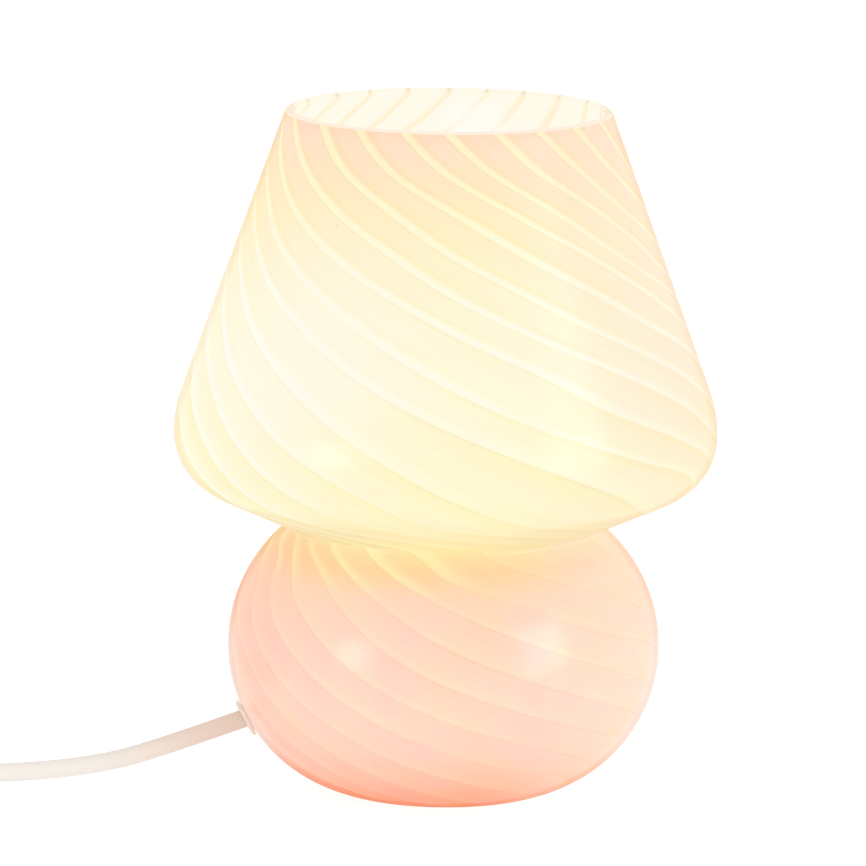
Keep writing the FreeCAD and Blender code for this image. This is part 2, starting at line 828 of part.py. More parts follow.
def bulb_cap():
    """The bulb's threaded cap, its insulator and its centre contact."""
    inside, outside = [], []
    for turn in range(SCREW_TURNS):
        low = f"thread_foot + {turn} * cap_thread_pitch"
        high = f"{low} + cap_thread_pitch / 2"
        inside += [("cap_root - cap_metal", low), ("cap_crest - cap_metal", high)]
        outside += [("cap_root", low), ("cap_crest", high)]
    outline = [
        *outside,
        ("cap_root", "collar_foot - cap_metal"),
        ("cap_collar", "collar_foot + collar_step"),
        ("cap_collar", "cap_rim"),
        ("bulb_neck", "cap_rim"),
        ("bulb_neck", "collar_foot + collar_step"),
        ("cap_root - cap_metal", "collar_foot"),
        *reversed(inside),
    ]
    node("bulb_cap", turned("cap_shell", outline))
    button_top = "bulb_bottom + bulb_button_height"
    node(
        "bulb_insulator",
        turned(
            "insulator",
            [
                ("0", button_top),
                ("bulb_button + cap_metal", button_top),
                ("cap_root - cap_metal", "thread_foot"),
                ("0", "thread_foot"),
            ],
        ),
    )
    node(
        "bulb_contact",
        turned(
            "button",
            [
                ("0", "bulb_bottom"),
                ("bulb_button - bulb_button_height", "bulb_bottom"),
                ("bulb_button", button_top, "bulb_button_height"),
                ("0", button_top),
            ],
        ),
    )


def bulb_glass():
    """The bulb's round envelope, whose neck runs into the globe without a corner."""
    thin = "(globe_radius - bulb_glass_wall)"
    inner_neck = "bulb_neck - bulb_glass_wall * neck_out_cos"
    outline = [
        (inner_neck, "collar_foot + collar_step"),
        ("bulb_neck", "collar_foot + collar_step"),
        ("bulb_neck", "cap_rim"),
        ("globe_radius * neck_out_cos", "globe_centre + globe_radius * neck_out_sin"),
        ("0", "globe_centre + globe_radius", "globe_radius"),
        ("0", "globe_centre + globe_radius - bulb_glass_wall"),
        (f"{thin} * neck_out_cos", f"globe_centre + {thin} * neck_out_sin", f"-{thin}"),
        (inner_neck, "cap_rim - bulb_glass_wall * neck_out_sin"),
    ]
    node("bulb_glass", turned("envelope", outline))


def bulb_inside():
    """The glass stem, the upright filament rods and the wires that carry them."""
    stem = [
        ("0", "bulb_bottom + stem_bottom"),
        ("stem_foot", "bulb_bottom + stem_bottom"),
        ("stem_radius", "bulb_bottom + stem_shoulder"),
        ("stem_radius", "bulb_bottom + stem_height"),
        ("stem_rod", "bulb_bottom + stem_height + stem_radius"),
        ("stem_rod", "bulb_bottom + stem_top"),
        ("0", "bulb_bottom + stem_top"),
    ]
    node("bulb_stem", turned("stem", stem))
    filaments, wires = [], []
    for number in range(FILAMENTS):
        turn = at(turn=number * 360 / FILAMENTS)
        spot = turn.multiply(at("filament_circle", "0", "bulb_bottom + filament_foot"))
        filaments.append(rod(f"filament_{number}", "filament_radius", "0", "filament_length", spot))
        for end, height in enumerate(("-lead_radius", "filament_length + lead_radius")):
            side = Placement(Vector(0, 0, value(height)), Rotation(Vector(0, 1, 0), -90))
            reach = "filament_circle - stem_rod - fit_gap"
            wires.append(rod(f"wire_{number}_{end}", "lead_radius", "0", reach, spot.multiply(side)))
    node("bulb_filaments", group("filaments", filaments))
    node("filament_wires", group("wires", wires))


def switch_plan(inset):
    """The switch's outline in plan: a box that narrows to both cord ends."""
    tip, side = f"switch_tip - {inset}", f"switch_side - {inset}"
    end, body = f"switch_half - {inset}", f"switch_body - {inset} / 2"
    corners = [(f"-({end})", tip), (f"-({body})", side), (body, side), (end, tip)]
    mirrored = [(x, f"-({y})") for x, y in reversed(corners)]
    return corners + mirrored


def switch_tools(name, radius, low, high):
    """Rods at the two screws' places."""
    rods = []
    for sign, other in (("-", ""), ("", "-")):
        spot = switch_spot.multiply(at(f"{sign}switch_screw_x", f"{other}switch_screw_y"))
        rods.append(rod(f"{name}_{len(rods)}", radius, low, high, spot))
    return group(name, rods)


def switch_housing():
    """The two halves of the switch's housing, split at the height of the cord."""
    bore_spot = switch_spot.multiply(lengthways("switch_split"))
    far = "switch_half + overrun"
    bore = rod("cord_bores", "cord_radius + fit_gap", f"-({far})", far, bore_spot)
    room = slab("room", switch_plan("switch_wall"), "switch_wall", "ceiling", switch_spot)

    lower = slab("base_blank", switch_plan("0"), "0", "switch_split", switch_spot)
    soften(lower, "switch_edge", upward=False)
    shape = joined("Part::Cut", "base_tub", lower, room)
    bosses = switch_tools("base_boss", "switch_boss", "switch_wall", "switch_split")
    shape = joined("Part::Fuse", "base_bossed", shape, bosses)
    shape = joined("Part::Cut", "base_bored", shape, bore)
    holes = switch_tools("base_hole", "switch_screw + fit_gap", "-overrun", "switch_top")
    shape = joined("Part::Cut", "base_drilled", shape, holes)
    sinks = switch_tools("base_sink", "switch_screw_head + fit_gap", "-overrun", "switch_screw_sink")
    node("switch_base", joined("Part::Cut", "base_sunk", shape, sinks))

    upper = slab("cover_blank", switch_plan("0"), "switch_split", "switch_top", switch_spot)
    soften(upper, "switch_edge")
    shape = joined("Part::Cut", "cover_tub", upper, room)
    bosses = switch_tools("cover_boss", "switch_boss", "switch_split", "ceiling")
    shape = joined("Part::Fuse", "cover_bossed", shape, bosses)
    ears = []
    for sign in ("-", ""):
        spot = switch_spot.multiply(at("0", f"{sign}(ear_inner + ear_thickness / 2)"))
        block = [
            ("-ear_half", "ceiling - ear_depth"),
            ("ear_half", "ceiling - ear_depth"),
            ("ear_half", "ceiling"),
            ("-ear_half", "ceiling"),
        ]
        ears.append(strip(f"ear_{len(ears)}", block, "ear_thickness", spot))
    shape = joined("Part::Fuse", "cover_eared", shape, group("ears", ears))
    half, width = "rocker_opening / 2", "ear_inner"
    corners = [(f"-{half}", f"-{width}"), (half, f"-{width}"), (half, width), (f"-{half}", width)]
    window = slab("window", corners, "ceiling - fit_gap", "switch_top + overrun", switch_spot)
    shape = joined("Part::Cut", "cover_open", shape, window)
    across = Placement(Vector(0, 0, value("rocker_pivot")), Rotation(Vector(1, 0, 0), 90))
    axle_spot = switch_spot.multiply(across)
    axle = rod("axle_bore", "pivot_radius + fit_gap", "-overrun / 2", "overrun / 2", axle_spot)
    shape = joined("Part::Cut", "cover_axled", shape, axle)
    shape = joined("Part::Cut", "cover_bored", shape, bore)
    holes = switch_tools("cover_hole", "switch_screw", "-overrun", "ceiling - switch_wall")
    node("switch_cover", joined("Part::Cut", "cover_drilled", shape, holes))


def switch_rocker():
    """The rocker with its two pivots, tipped to on, and the contact blade under it."""
    tilt = Rotation(Vector(0, 1, 0), value("rocker_tilt"))
    spot = switch_spot.multiply(Placement(Vector(0, 0, value("rocker_pivot")), tilt))
    outline = [
        ("-rocker_keel_half", "-rocker_keel"),
        ("rocker_keel_half", "-rocker_keel"),
        ("rocker_half", "rocker_skirt"),
        ("rocker_half", "rocker_crown"),
        ("-rocker_half", "rocker_crown", "-rocker_half^2 / (rocker_crown - rocker_dip) / 2"),
        ("-rocker_half", "rocker_skirt"),
    ]
    key = strip("rocker_key", outline, "rocker_width", spot)
    across = spot.multiply(Placement(Vector(), Rotation(Vector(1, 0, 0), 90)))
    reach = "rocker_width / 2 + pivot_length"
    axle = rod("rocker_axle", "pivot_radius", f"-({reach})", reach, across)
    node("switch_rocker", joined("Part::Fuse", "rocker", key, axle))
    blade = [
        ("-blade_length / 2", "-rocker_keel - blade_thickness"),
        ("blade_length / 2", "-rocker_keel - blade_thickness"),
        ("blade_length / 2", "-rocker_keel"),
        ("-blade_length / 2", "-rocker_keel"),
    ]
    node("contact_blade", strip("blade", blade, "blade_width", spot))


def switch_inside():
    """Fixed contacts, cord clamps, the cord's two ends, the live core and the housing's screws."""
    posts, clamps, ends, cores = [], [], [], []
    for number, turn in enumerate((0, 180)):
        spot = switch_spot.multiply(at(turn=turn))
        block = [
            ("terminal_near", "switch_wall"),
            ("terminal_far", "switch_wall"),
            ("terminal_far", "terminal_top"),
            ("terminal_near", "terminal_top"),
        ]
        posts.append(strip(f"post_{number}", block, "terminal_width", spot))
        top = "switch_split + cord_radius + fit_gap"
        bar = [
            ("clamp_near", top),
            ("clamp_far", top),
            ("clamp_far", "ceiling - fit_gap"),
            ("clamp_near", "ceiling - fit_gap"),
        ]
        clamps.append(strip(f"clamp_{number}", bar, "clamp_width", spot))
        inner_end = "switch_half - cord_inside"
        along = spot.multiply(lengthways("switch_split"))
        ends.append(rod(f"cord_end_{number}", "cord_radius", inner_end, "switch_half", along))
        along = spot.multiply(lengthways("switch_split - core_radius"))
        cores.append(rod(f"live_core_{number}", "core_radius", "terminal_far", inner_end, along))
    node("switch_contacts", group("posts", posts))
    node("cord_clamps", group("clamps", clamps))
    node("switch_cord_ends", group("cord_ends", ends))
    node("switch_cores", group("live_cores", cores))
    screws = []
    for sign, other in (("-", ""), ("", "-")):
        spot = switch_spot.multiply(at(f"{sign}switch_screw_x", f"{other}switch_screw_y"))
        outline = [
            ("0", "switch_screw_recess"),
            ("switch_screw_head", "switch_screw_recess"),
            ("switch_screw_head", "switch_screw_sink"),
            ("switch_screw", "switch_screw_sink"),
            ("switch_screw", "ceiling - switch_wall"),
            ("0", "ceiling - switch_wall"),
        ]
        screws.append(turned(f"housing_screw_{len(screws)}", outline, spot))
    node("switch_screws", group("housing_screws", screws))


def plug():
    """The flat two-pin plug with its ribbed strain relief, pins and pin sleeves."""
    forward = plug_spot.multiply(lengthways("plug_middle"))
    relief = [("0", "0"), ("relief_tip", "0")]
    rib_shares = ((0.6, "0"), (0.73, "relief_groove"), (1.24, "relief_groove"), (1.33, "0"))
    for rib in range(RELIEF_RIBS):
        for share, depth in rib_shares:
            along = (rib + share) / (RELIEF_RIBS + 1)
            radius = f"relief_tip + (relief_root - relief_tip) * {along} - {depth}"
            relief.append((radius, f"relief_length * {along}"))
    relief += [("relief_root", "relief_length"), ("0", "relief_length")]
    node("plug_strain_relief", turned("relief", relief, forward))

    side, heel, middle = "plug_width / 2", "plug_heel / 2", "plug_waist / 2"
    near, far = "relief_length + plug_waist_run", "relief_length + plug_full_run"
    plan = [
        ("relief_length", heel),
        ("relief_length", f"-{heel}"),
        (near, f"-{middle}"),
        (far, f"-{side}"),
        ("plug_front", f"-{side}"),
        ("plug_front", side),
        (far, side),
        (near, middle),
    ]
    body = slab("plug_blank", plan, "0", "plug_thickness", plug_spot)
    soften(body, "plug_edge")
    soften(body, "plug_edge", upward=False)
    pins, sleeves, holes = [], [], []
    for number, sign in enumerate(("-", "")):
        spot = forward.multiply(at("0", f"{sign}pin_side"))
        outline = [
            ("0", "pin_heel"),
            ("pin_shaft", "pin_heel"),
            ("pin_shaft", "pin_step"),
            ("pin_radius", "pin_step"),
            ("pin_radius", "pin_tip - pin_nose"),
            ("pin_radius - pin_nose", "pin_tip", "pin_nose"),
            ("0", "pin_tip"),
        ]
        pins.append(turned(f"pin_{number}", outline, spot))
        tube = [
            ("pin_shaft", "plug_front"),
            ("sleeve_radius", "plug_front"),
            ("sleeve_radius", "pin_step"),
            ("pin_shaft", "pin_step"),
        ]
        sleeves.append(turned(f"pin_sleeve_{number}", tube, spot))
        holes.append(rod(f"pin_hole_{number}", "pin_shaft", "pin_heel", "plug_front + overrun", spot))
    node("plug_body", joined("Part::Cut", "plug_moulding", body, group("pin_holes", holes)))
    node("plug_pins", group("pins", pins))
    node("plug_pin_sleeves", group("pin_sleeves", sleeves))


def coil():
    """Two layers of turns, wound in on the surface, up in one half turn, and out again on top."""
    radius, pitch = value("coil_radius"), value("coil_pitch")
    wire, straight = value("cord_radius"), value("cord_diameter")
    low = wire + value("coil_lift")
    centre = Vector(*COIL_CENTRE, 0)
    halves = COIL_HALF_TURNS
    radii = [radius - pitch / 2 * min(k, 2 * halves - k) for k in range(2 * halves + 1)]
    heading = Vector(1, 0, 0)
    spot = centre + Vector(0, radius + pitch / 4, low)
    edges = [Part.LineSegment(spot - heading * straight, spot)]
    sampled = []
    for number, turn_radius in enumerate(radii):
        climb = pitch if number == halves else 0
        side = -1 if number % 2 == 0 else 1
        end = spot + Vector(0, side * 2 * turn_radius, climb)
        span = end - spot
        crown = (spot + end) * 0.5 + heading * (span.Length / 2)
        edges += [arc_from(spot, heading, crown), arc_from(crown, Vector(span).normalize(), end)]
        heading, spot = heading * -1, end
    edges.append(Part.LineSegment(spot, spot + heading * straight))
    step_share = 0.25
    for edge in edges:
        sampled += edge.toShape().discretize(Distance=straight * step_share)[:-1]
    skip = math.ceil(radii[halves] / (straight * step_share))
    closest = min(
        first.distanceToPoint(second)
        for number, first in enumerate(sampled)
        for second in sampled[number + skip :]
    )
    print(f"cord_coil: {len(radii) / 2} turns, least gap to itself {closest - straight:.2f} mm")
    node("cord_coil", swept("cord_coil", edges, wire, Vector(1, 0, 0)))


def coil_tie():
    """The flat tie round all the turns on the coil's far side."""
    gap, inner = "tie_gap", f"(coil_radius - coil_pitch / 2 * {COIL_HALF_TURNS})"
    near = f"{inner} - cord_radius - {gap}"
    far = f"coil_radius + cord_radius + {gap}"
    low, high = "coil_lift - tie_gap", f"coil_lift + cord_diameter + coil_pitch + {gap}"
    centre = Placement(Vector(*COIL_CENTRE, 0), Rotation())
    spot = centre.multiply(at("0", "coil_pitch / 4"))
    wall = "tie_thickness"
    outer = [
        (f"{near} - {wall}", f"{low} - {wall}"),
        (f"{far} + {wall}", f"{low} - {wall}"),
        (f"{far} + {wall}", f"{high} + {wall}"),
        (f"{near} - {wall}", f"{high} + {wall}"),
    ]
    hollow = [(near, low), (far, low), (far, high), (near, high)]
    band = strip("tie_blank", outer, "tie_width", spot)
    room = strip("tie_room", hollow, "tie_width + overrun", spot)
    node("coil_tie", joined("Part::Cut", "tie", band, room))


def check(piece):
    """Stops the build if a piece failed or isn't sound."""
    if piece.Shape.isNull() or not piece.Shape.isValid() or piece.Shape.Volume <= 0:
        raise SystemExit(f"{piece.Label} has no sound shape")


doc = FreeCAD.newDocument("glass_table_lamp")
sizes = doc.addObject("Spreadsheet::Sheet", "sizes")
worked = doc.addObject("Spreadsheet::Sheet", "worked")
fill_sheets()
nodes = []

azimuth = math.radians(value("exit_azimuth"))
outwards = Vector(math.cos(azimuth), math.sin(azimuth), 0)
exit_point = outwards * value("exit_r") + Vector(0, 0, value("exit_height"))


def pointing_down(angle):
    """A spot on the glass at the cord's exit, its Z axis out and down by the angle."""
    lean = math.radians(angle)
    way = outwards * math.cos(lean) - Vector(0, 0, math.sin(lean))
    return Placement(exit_point, Rotation(Vector(0, 0, 1), way))


exit_spot = pointing_down(value("exit_tilt"))
cord_spot = pointing_down(value("cord_slope"))
switch_end = Vector(*LAMP_LEAD[-1][:2], 0)
half_way = Vector(value("switch_half"), 0, 0)
switch_spot = Placement(switch_end - half_way, Rotation(Vector(0, 0, 1), 180))
plug_end = Vector(*PLUG_LEAD[-1][:2], 0)
plug_way = plug_end - Vector(*PLUG_LEAD[-2][:2], 0)
plug_spot = Placement(plug_end, Rotation(Vector(1, 0, 0), plug_way))

glass()
grommet()
lead_start = held_cord()
core_wires()
holder_cap()
terminals()
holder_shell()
screw_shell()
centre_contact()
clamp_ring()
carrier()
bulb_cap()
bulb_glass()
bulb_inside()
cord_run("lamp_lead", [tuple(lead_start), *LAMP_LEAD], value("cord_radius"))
switch_housing()
switch_rocker()
switch_inside()
cord_run("switch_lead", SWITCH_LEAD, value("cord_radius"))
coil()
coil_tie()
cord_run("plug_lead", PLUG_LEAD, value("cord_radius"))
plug()

doc.recompute()
failed = [o.Label for o in doc.Objects if {"Invalid", "Error"} & set(o.State)]
if failed:
    raise SystemExit(f"not built: {failed}")
for piece in nodes:
    check(piece)
os.makedirs("parts", exist_ok=True)
for piece in nodes:
    piece.Shape.exportStep(f"parts/{piece.Label}.step")
print(f"{len(nodes)} pieces written")
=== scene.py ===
"""Looks of the glass table lamp: swirled opal glass, white flex, switch, plug, lampholder and bulb.

Metres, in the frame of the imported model: +Z up, the lamp stands on z = 0 and faces -Y.
"""

import math

import bpy
import numpy as np
from mathutils import Matrix, Vector


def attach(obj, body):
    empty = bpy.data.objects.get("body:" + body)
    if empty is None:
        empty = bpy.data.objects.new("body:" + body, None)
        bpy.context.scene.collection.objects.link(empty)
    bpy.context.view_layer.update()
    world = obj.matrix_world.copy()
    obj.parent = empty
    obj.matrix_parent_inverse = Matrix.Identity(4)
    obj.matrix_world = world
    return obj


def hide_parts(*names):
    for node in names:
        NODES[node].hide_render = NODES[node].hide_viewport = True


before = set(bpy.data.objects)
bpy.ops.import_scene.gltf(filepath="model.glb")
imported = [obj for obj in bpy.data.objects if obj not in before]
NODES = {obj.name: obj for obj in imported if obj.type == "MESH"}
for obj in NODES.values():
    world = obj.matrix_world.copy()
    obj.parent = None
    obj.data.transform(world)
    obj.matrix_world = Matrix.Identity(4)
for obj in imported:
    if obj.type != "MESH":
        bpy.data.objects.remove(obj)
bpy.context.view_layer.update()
MM = 0.001

# Camera
TARGET = Vector((0, 0, 0.1))
CAMERA_DISTANCE = 2.2
CAMERA_ELEVATION = math.radians(10.354)
CAMERA_ROLL = 0.0107
CAMERA_LENS, CAMERA_SENSOR = 327.14, 36
CAMERA_SHIFT = (-0.01459, 0.00072)

# Cord
CORD_DIAMETER = 0.0052
CORD_EXIT = (-0.0559, -0.01036, 0.02013)
INNER_CORD = (
    (0.0, 0.0, 65.07),
    (0.0, 0.0, 57.0),
    (0.0, 0.0, 47.45),
    (-8.26, -1.53, 35.89),
    (-21.63, -4.01, 31.46),
    (-55.9, -10.36, 20.13),
)
LAMP_LEAD = (
    (-64.12, -11.88, 17.41),
    (-76.5, -12.2, 13.0),
    (-92.0, -10.8, 7.6),
    (-110.0, -8.0, 4.2),
    (-129.0, -6.0, 2.6),
    (-150.0, -14.5, 2.6),
    (-172.0, -27.0, 2.6),
    (-192.0, -36.5, 3.4),
    (-208.0, -40.0, 6.5),
    (-220.0, -40.0, 6.5),
)
SWITCH_LEAD = (
    (-282.0, -40.0, 6.5),
    (-294.0, -40.0, 6.5),
    (-310.0, -35.0, 3.6),
    (-324.0, -20.0, 2.6),
    (-327.0, 4.0, 2.6),
    (-319.0, 28.0, 2.6),
    (-301.0, 48.0, 2.6),
    (-275.0, 61.0, 2.6),
    (-244.0, 67.5, 2.6),
    (-213.0, 69.925, 3.5),
    (-183.2, 69.925, 3.5),
)
PLUG_LEAD = (
    (-183.2, -7.075, 9.2),
    (-192.5, -7.075, 9.2),
    (-203.0, -5.2, 7.9),
    (-216.2, -1.7, 6.85),
    (-226.0, 0.0, 6.85),
)
COIL_CENTRE = (-178.0, 30.0)
COIL_RADIUS = 38.5
COIL_PITCH = 5.7
COIL_LOW = 3.5
COIL_HALF_TURNS = 6
COIL_POINTS = 8  # points of the spline in each half turn

# Glass in millimetres, the sizes of the solid
RIM_RADIUS, RIM_HEIGHT = 45.6, 190.7
SHADE_RADIUS, SHADE_WIDEST = 76.0, 100.3
SHOULDER_ROUND = 35.2
UNDERSIDE = math.radians(24.5)
WAIST_RADIUS, WAIST_HEIGHT, WAIST_ROUND = 43.4, 74.4, 0.8
BASE_RADIUS, BASE_WIDEST = 60.5, 39.9
FOOT_RADIUS, FOOT_INNER, PUNT = 30.8, 24.0, 2.5
WALL, FLOOR = 2.4, 4.0  # the floor is the glass over the punt
BORE_MIDDLE = Vector((-54.77, -10.15, 20.5))
BORE_RADIUS, BORE_HALF, BORE_SIDES = 4.2, 8.0, 48
BORE_AZIMUTH, BORE_TILT = math.radians(190.5), math.radians(27.8)
LIP_MARK, INSIDE_MARK = 1.2, 1.5  # heights in the UV map; the outside ends at 1
RIB_HEIGHT = 0.04
RIB_WIDTH = 0.14  # of a period
RIB_RINGS = 6  # rings over which the ribs rise from the foot
STRIPES = 22
COLUMNS_PER_STRIPE = 14
GLASS_TOP = 195.0  # height that the ramps end at
SEEDS = ((0.0408, -0.0364, 0.1656), (-0.0302, -0.0456, 0.1656), (-0.0468, -0.0377, 0.0457))
SEED_RADIUS = 0.00024
SMOOTH_ANGLE = math.radians(40)
FLAT = 1e-6  # points lower than this lie on the ring that the lamp stands on
MIDDLE_PARTS = 12  # the flat in the middle of foot and floor is one of these parts wide

# Azimuths of the stripes on the back of the lip, seen through the mouth
BACK_AT_221 = (93, 109, 123, 140, 157, 172, 187, 202, 218)
BACK_AT_233 = (97, 111, 128, 145, 160, 174, 189, 205, 219)

# Courses of the stripes: run along the outside from the foot in mm, first stripe's number, and
# the azimuths in degrees of it and its neighbours, seen from the front, where they were read
COURSES = (
    (0.0, -18, (-32, -13, 8, 36, 68)),
    (9.4, -18, (-50, -32, -13, 10, 43)),
    (18.8, -17, (-48, -31, -11, 17, 50)),
    (28.2, -16, (-45, -28, -8, 19, 48, 76)),
    (37.6, -16, (-57, -43, -26, -6, 20, 48, 73)),
    (47.0, -15, (-55, -41, -24, -4, 21, 47, 75)),
    (56.4, -15, (-65, -53.5, -38.5, -22, -2, 22, 49, 80)),
    (65.8, -14, (-64, -51, -35.5, -18, 0.5, 25, 50, 80)),
    (75.2, -14, (-70, -60, -47.5, -31, -15.5, 4, 27, 58)),
    (84.6, -13, (-67, -57, -43.5, -31.5, -15, 2, 33, 58)),
    (90.8, -12, (-65, -55, -42, -25, -6, 19, 46, 70)),
    (94.2, -12, (-70, -60, -46, -30, -12, 15, 42, 67)),
    (97.6, -10, (-49, -34, -18, 5, 30, 56)),
    (104.4, -9, (-47, -31, -11, 12, 36, 60)),
    (111.2, -9, (-62, -45, -28, -6, 17, 42, 72)),
    (118.0, -9, (-69, -53, -36, -16, 3, 26, 58)),
    (129.5, -8, (-64, -49, -33, -13, 7, 43, 68)),
    (141.0, -8, (-76, -61, -47, -31, -10, 21, 42, 63)),
    (152.5, -7, (-75, -60, -46, -26, 0, 19, 42, 63)),
    (164.0, -6, (-74, -60, -41, -19, 0, 26, 44, 61, 79)),
    (175.5, -5, (-72, -56, -36, -18, 6, 23, 41, 59, 76)),
    (187.0, -4, (-69, -53, -36, -14.5, 3, 22, 41, 58, 69, 81)),
    (198.5, -3, (-68, -54, -35, -15, 2, 22, 40, 50, 65, 78)),
    (210.0, -2, (-69, -54, -35.5, -16, 3, 20, 33.5, 48, 60, 76)),
    (221.5, -1, (-70, -54, -36, -18.5, -0.5, 14, 30, 45.5, 61, 77, *BACK_AT_221)),
    (233.2, -1, (-86, -70, -50, -33.5, -16, -1, 16.5, 32, 49, 66, 82, *BACK_AT_233)),
)

# Colours of the glass by height in mm: the bands between the stripes, and the stripes
BAND_COLOURS = (
    (0, (248, 152, 117)),
    (4, (252, 163, 126)),
    (10, (253, 188, 160)),
    (20, (254, 209, 189)),
    (31, (254, 216, 195)),
    (54, (254, 214, 193)),
    (63, (254, 217, 188)),
    (70, (254, 216, 167)),
    (75, (252, 233, 174)),
    (80, (251, 236, 183)),
    (88, (253, 247, 205)),
    (104, (254, 248, 208)),
    (124, (254, 249, 220)),
    (140, (254, 248, 217)),
    (158, (254, 244, 206)),
    (168, (254, 240, 198)),
    (180, (254, 232, 197)),
    (187, (254, 229, 200)),
    (191, (253, 222, 193)),
)
STRIPE_COLOURS = (
    (0, (249, 160, 126)),
    (6, (253, 184, 152)),
    (14, (254, 210, 180)),
    (31, (255, 227, 199)),
    (54, (255, 226, 196)),
    (63, (255, 224, 189)),
    (69, (255, 236, 184)),
    (75, (255, 243, 184)),
    (82, (255, 244, 197)),
    (95, (255, 250, 214)),
    (124, (255, 253, 234)),
    (150, (255, 252, 228)),
    (172, (255, 250, 210)),
    (195, (255, 243, 198)),
)
# painted light: the glass paler at the side away from the cord, and whiter stripes at the cord's
# side
PAINTED_LIGHT_GLASS, PAINTED_LIGHT_STRIPE = (255, 231, 208), (255, 255, 246)
NEAR_BULB, MIRRORED_FLOOR = (255, 254, 242), (254, 243, 238)
INNER_WALL, INNER_VEIN, INNER_GLOW = (255, 253, 237), (253, 244, 212), (255, 255, 250)
LIP_FRONT, LIP_BACK, LIP_DARK = (252, 240, 222), (254, 251, 232), (245, 231, 203)

# Tints that the glass is multiplied by, in linear light
AFTER_TINT, BEFORE_TINT = (1.0, 0.975, 0.86), (1.0, 0.985, 0.9)
EDGE_TINT_BASE, EDGE_TINT_SHADE = (0.93, 0.935, 0.84), (0.91, 0.93, 0.84)
CLOUD_TINTS = ((0.36, (1, 0.965, 1)), (0.5, (1, 1, 1)), (0.64, (1, 1, 0.94)))
# painted shade towards the outline, by how far the surface turns away
OUTLINE_SHADE_TINTS = (
    (0.6, (1, 1, 1)),
    (0.8, (1, 0.98, 0.97)),
    (0.9, (0.995, 0.96, 0.955)),
    (1.0, (0.97, 0.91, 0.91)),
)
# the first tint is painted shade on the base at the cord's side
PAINTED_SHADE_TINT, WARM_TINT, SEED_COLOUR = (0.98, 0.91, 0.9), (1.035, 1.0, 1.0), (0.55, 0.4, 0.3)

# Strength of each feature along one period of the swirl, which starts on the ridge of a stripe
STRIPE_HIGH = (
    *((0, 1), (0.05, 0.9), (0.1, 0.5), (0.15, 0)),
    *((0.845, 0), (0.87, 0.25), (0.9, 0.9), (0.94, 1)),
)
STRIPE_LOW = (
    *((0, 1), (0.06, 0.85), (0.16, 0.5), (0.34, 0.2), (0.55, 0)),
    *((0.845, 0), (0.87, 0.3), (0.9, 0.9), (0.94, 1)),
)
STRIPE_WAIST = (
    *((0, 1), (0.08, 0.9), (0.2, 0.45), (0.36, 0.1), (0.5, 0)),
    *((0.82, 0), (0.9, 0.5), (0.96, 1)),
)
STRIPE_BASE = (
    *((0, 1), (0.06, 0.9), (0.14, 0.6), (0.34, 0.32), (0.6, 0.05)),
    *((0.84, 0), (0.88, 0.15), (0.92, 0.9), (0.96, 1)),
)
AFTER_STRIPE = ((0.07, 0), (0.13, 1), (0.2, 0.75), (0.32, 0.25), (0.46, 0))
BEFORE_STRIPE = ((0.5, 0), (0.8, 1), (0.86, 1), (0.9, 0))
HARD_EDGE = ((0.825, 0), (0.858, 1), (0.872, 1), (0.9, 0))
VEIN = ((0.19, 0), (0.31, 1), (0.36, 1), (0.51, 0))
LIP_SPOT = ((0.26, 0), (0.31, 1), (0.37, 1), (0.42, 0))

# Strengths by height in mm, and by how far the surface turns away, up to 1 at the outline
AFTER_BY_HEIGHT = ((70, 0), (86, 0.2), (115, 0.2), (160, 0.85), (190, 0.85))
MIRROR_BY_HEIGHT = ((9, 0), (18, 1), (40, 1), (54, 0))
MIRROR_BY_FACING = ((0.68, 0), (0.92, 0.7))
GLOSS_BY_FACING = ((0, 0.45), (0.32, 0.4), (0.58, 0.1), (0.8, 0))

# Heights in mm between which a feature sets in or gives way
SHADE_FROM, CRISP_FROM = (74, 84), (95, 150)
WAIST_STRIPE_FROM, WAIST_FADE_FROM = (58, 68), (56, 69)
WHITER_UNTIL, BEFORE_UNTIL = (140, 160), (100, 150)
PAINTED_SHADE_FROM = (0, 24)
UNDERSIDE_FROM, UNDERSIDE_UNTIL = (64, 72), (82, 94)

# Sines of the azimuths between which a feature sets in: -1 is the cord's side
WAIST_SIDE, PAINTED_LIGHT_SIDE = (-0.1, 0.3), (0.15, 1.05)
WHITER_SIDE, PAINTED_SHADE_SIDE = (-0.3, -0.9), (-0.5, -1)

# Scale and detail of the noises in the glass
WANDER, PATCHES, STREAKS = (16.0, 1.0), (30.0, 1.0), (1.0, 3.0)
CLOUDS, RIPPLE = (55.0, 2.0), (22.0, 1.0)
WANDER_SIZE = 0.05  # of a period
STREAK_STRETCH = 7.0

# Strengths of the features of the glass; those in brackets at the low and high end of a noise
PATCHY_STRIPES, STREAK_TONES = (0.7, 1.2), (0.955, 1.045)
BASE_STRIPES, WAIST_ADDS = 0.8, (0.2, -0.6)  # the pair: at the cord's side and opposite
PAINTED_LIGHT_BANDS, PAINTED_LIGHT_LINES, WHITER_LINES = 0.62, 0.3, 0.6
HARD_EDGE_DEPTH, SEED_DEPTH = 1.4, 0.5
CLOUDS_ON_SHADE, OUTLINE_UNDER_SHADE = 0.3, 0.25
OUTER_GLOW_STRENGTH, INNER_GLOW_STRENGTH = 0.45, 0.7
LIT_OUTSIDE, LIT_INSIDE = 0.84, 0.95
SCATTER_OUTSIDE, SCATTER_INSIDE = 0.1, 0.03
GLOSS_ON_SHADE, GLOSS_INSIDE_ADDS = 0.65, -0.6
LIP_DEPTH = (-0.02, 0.02)  # in m, where the lip's front gives way to its back

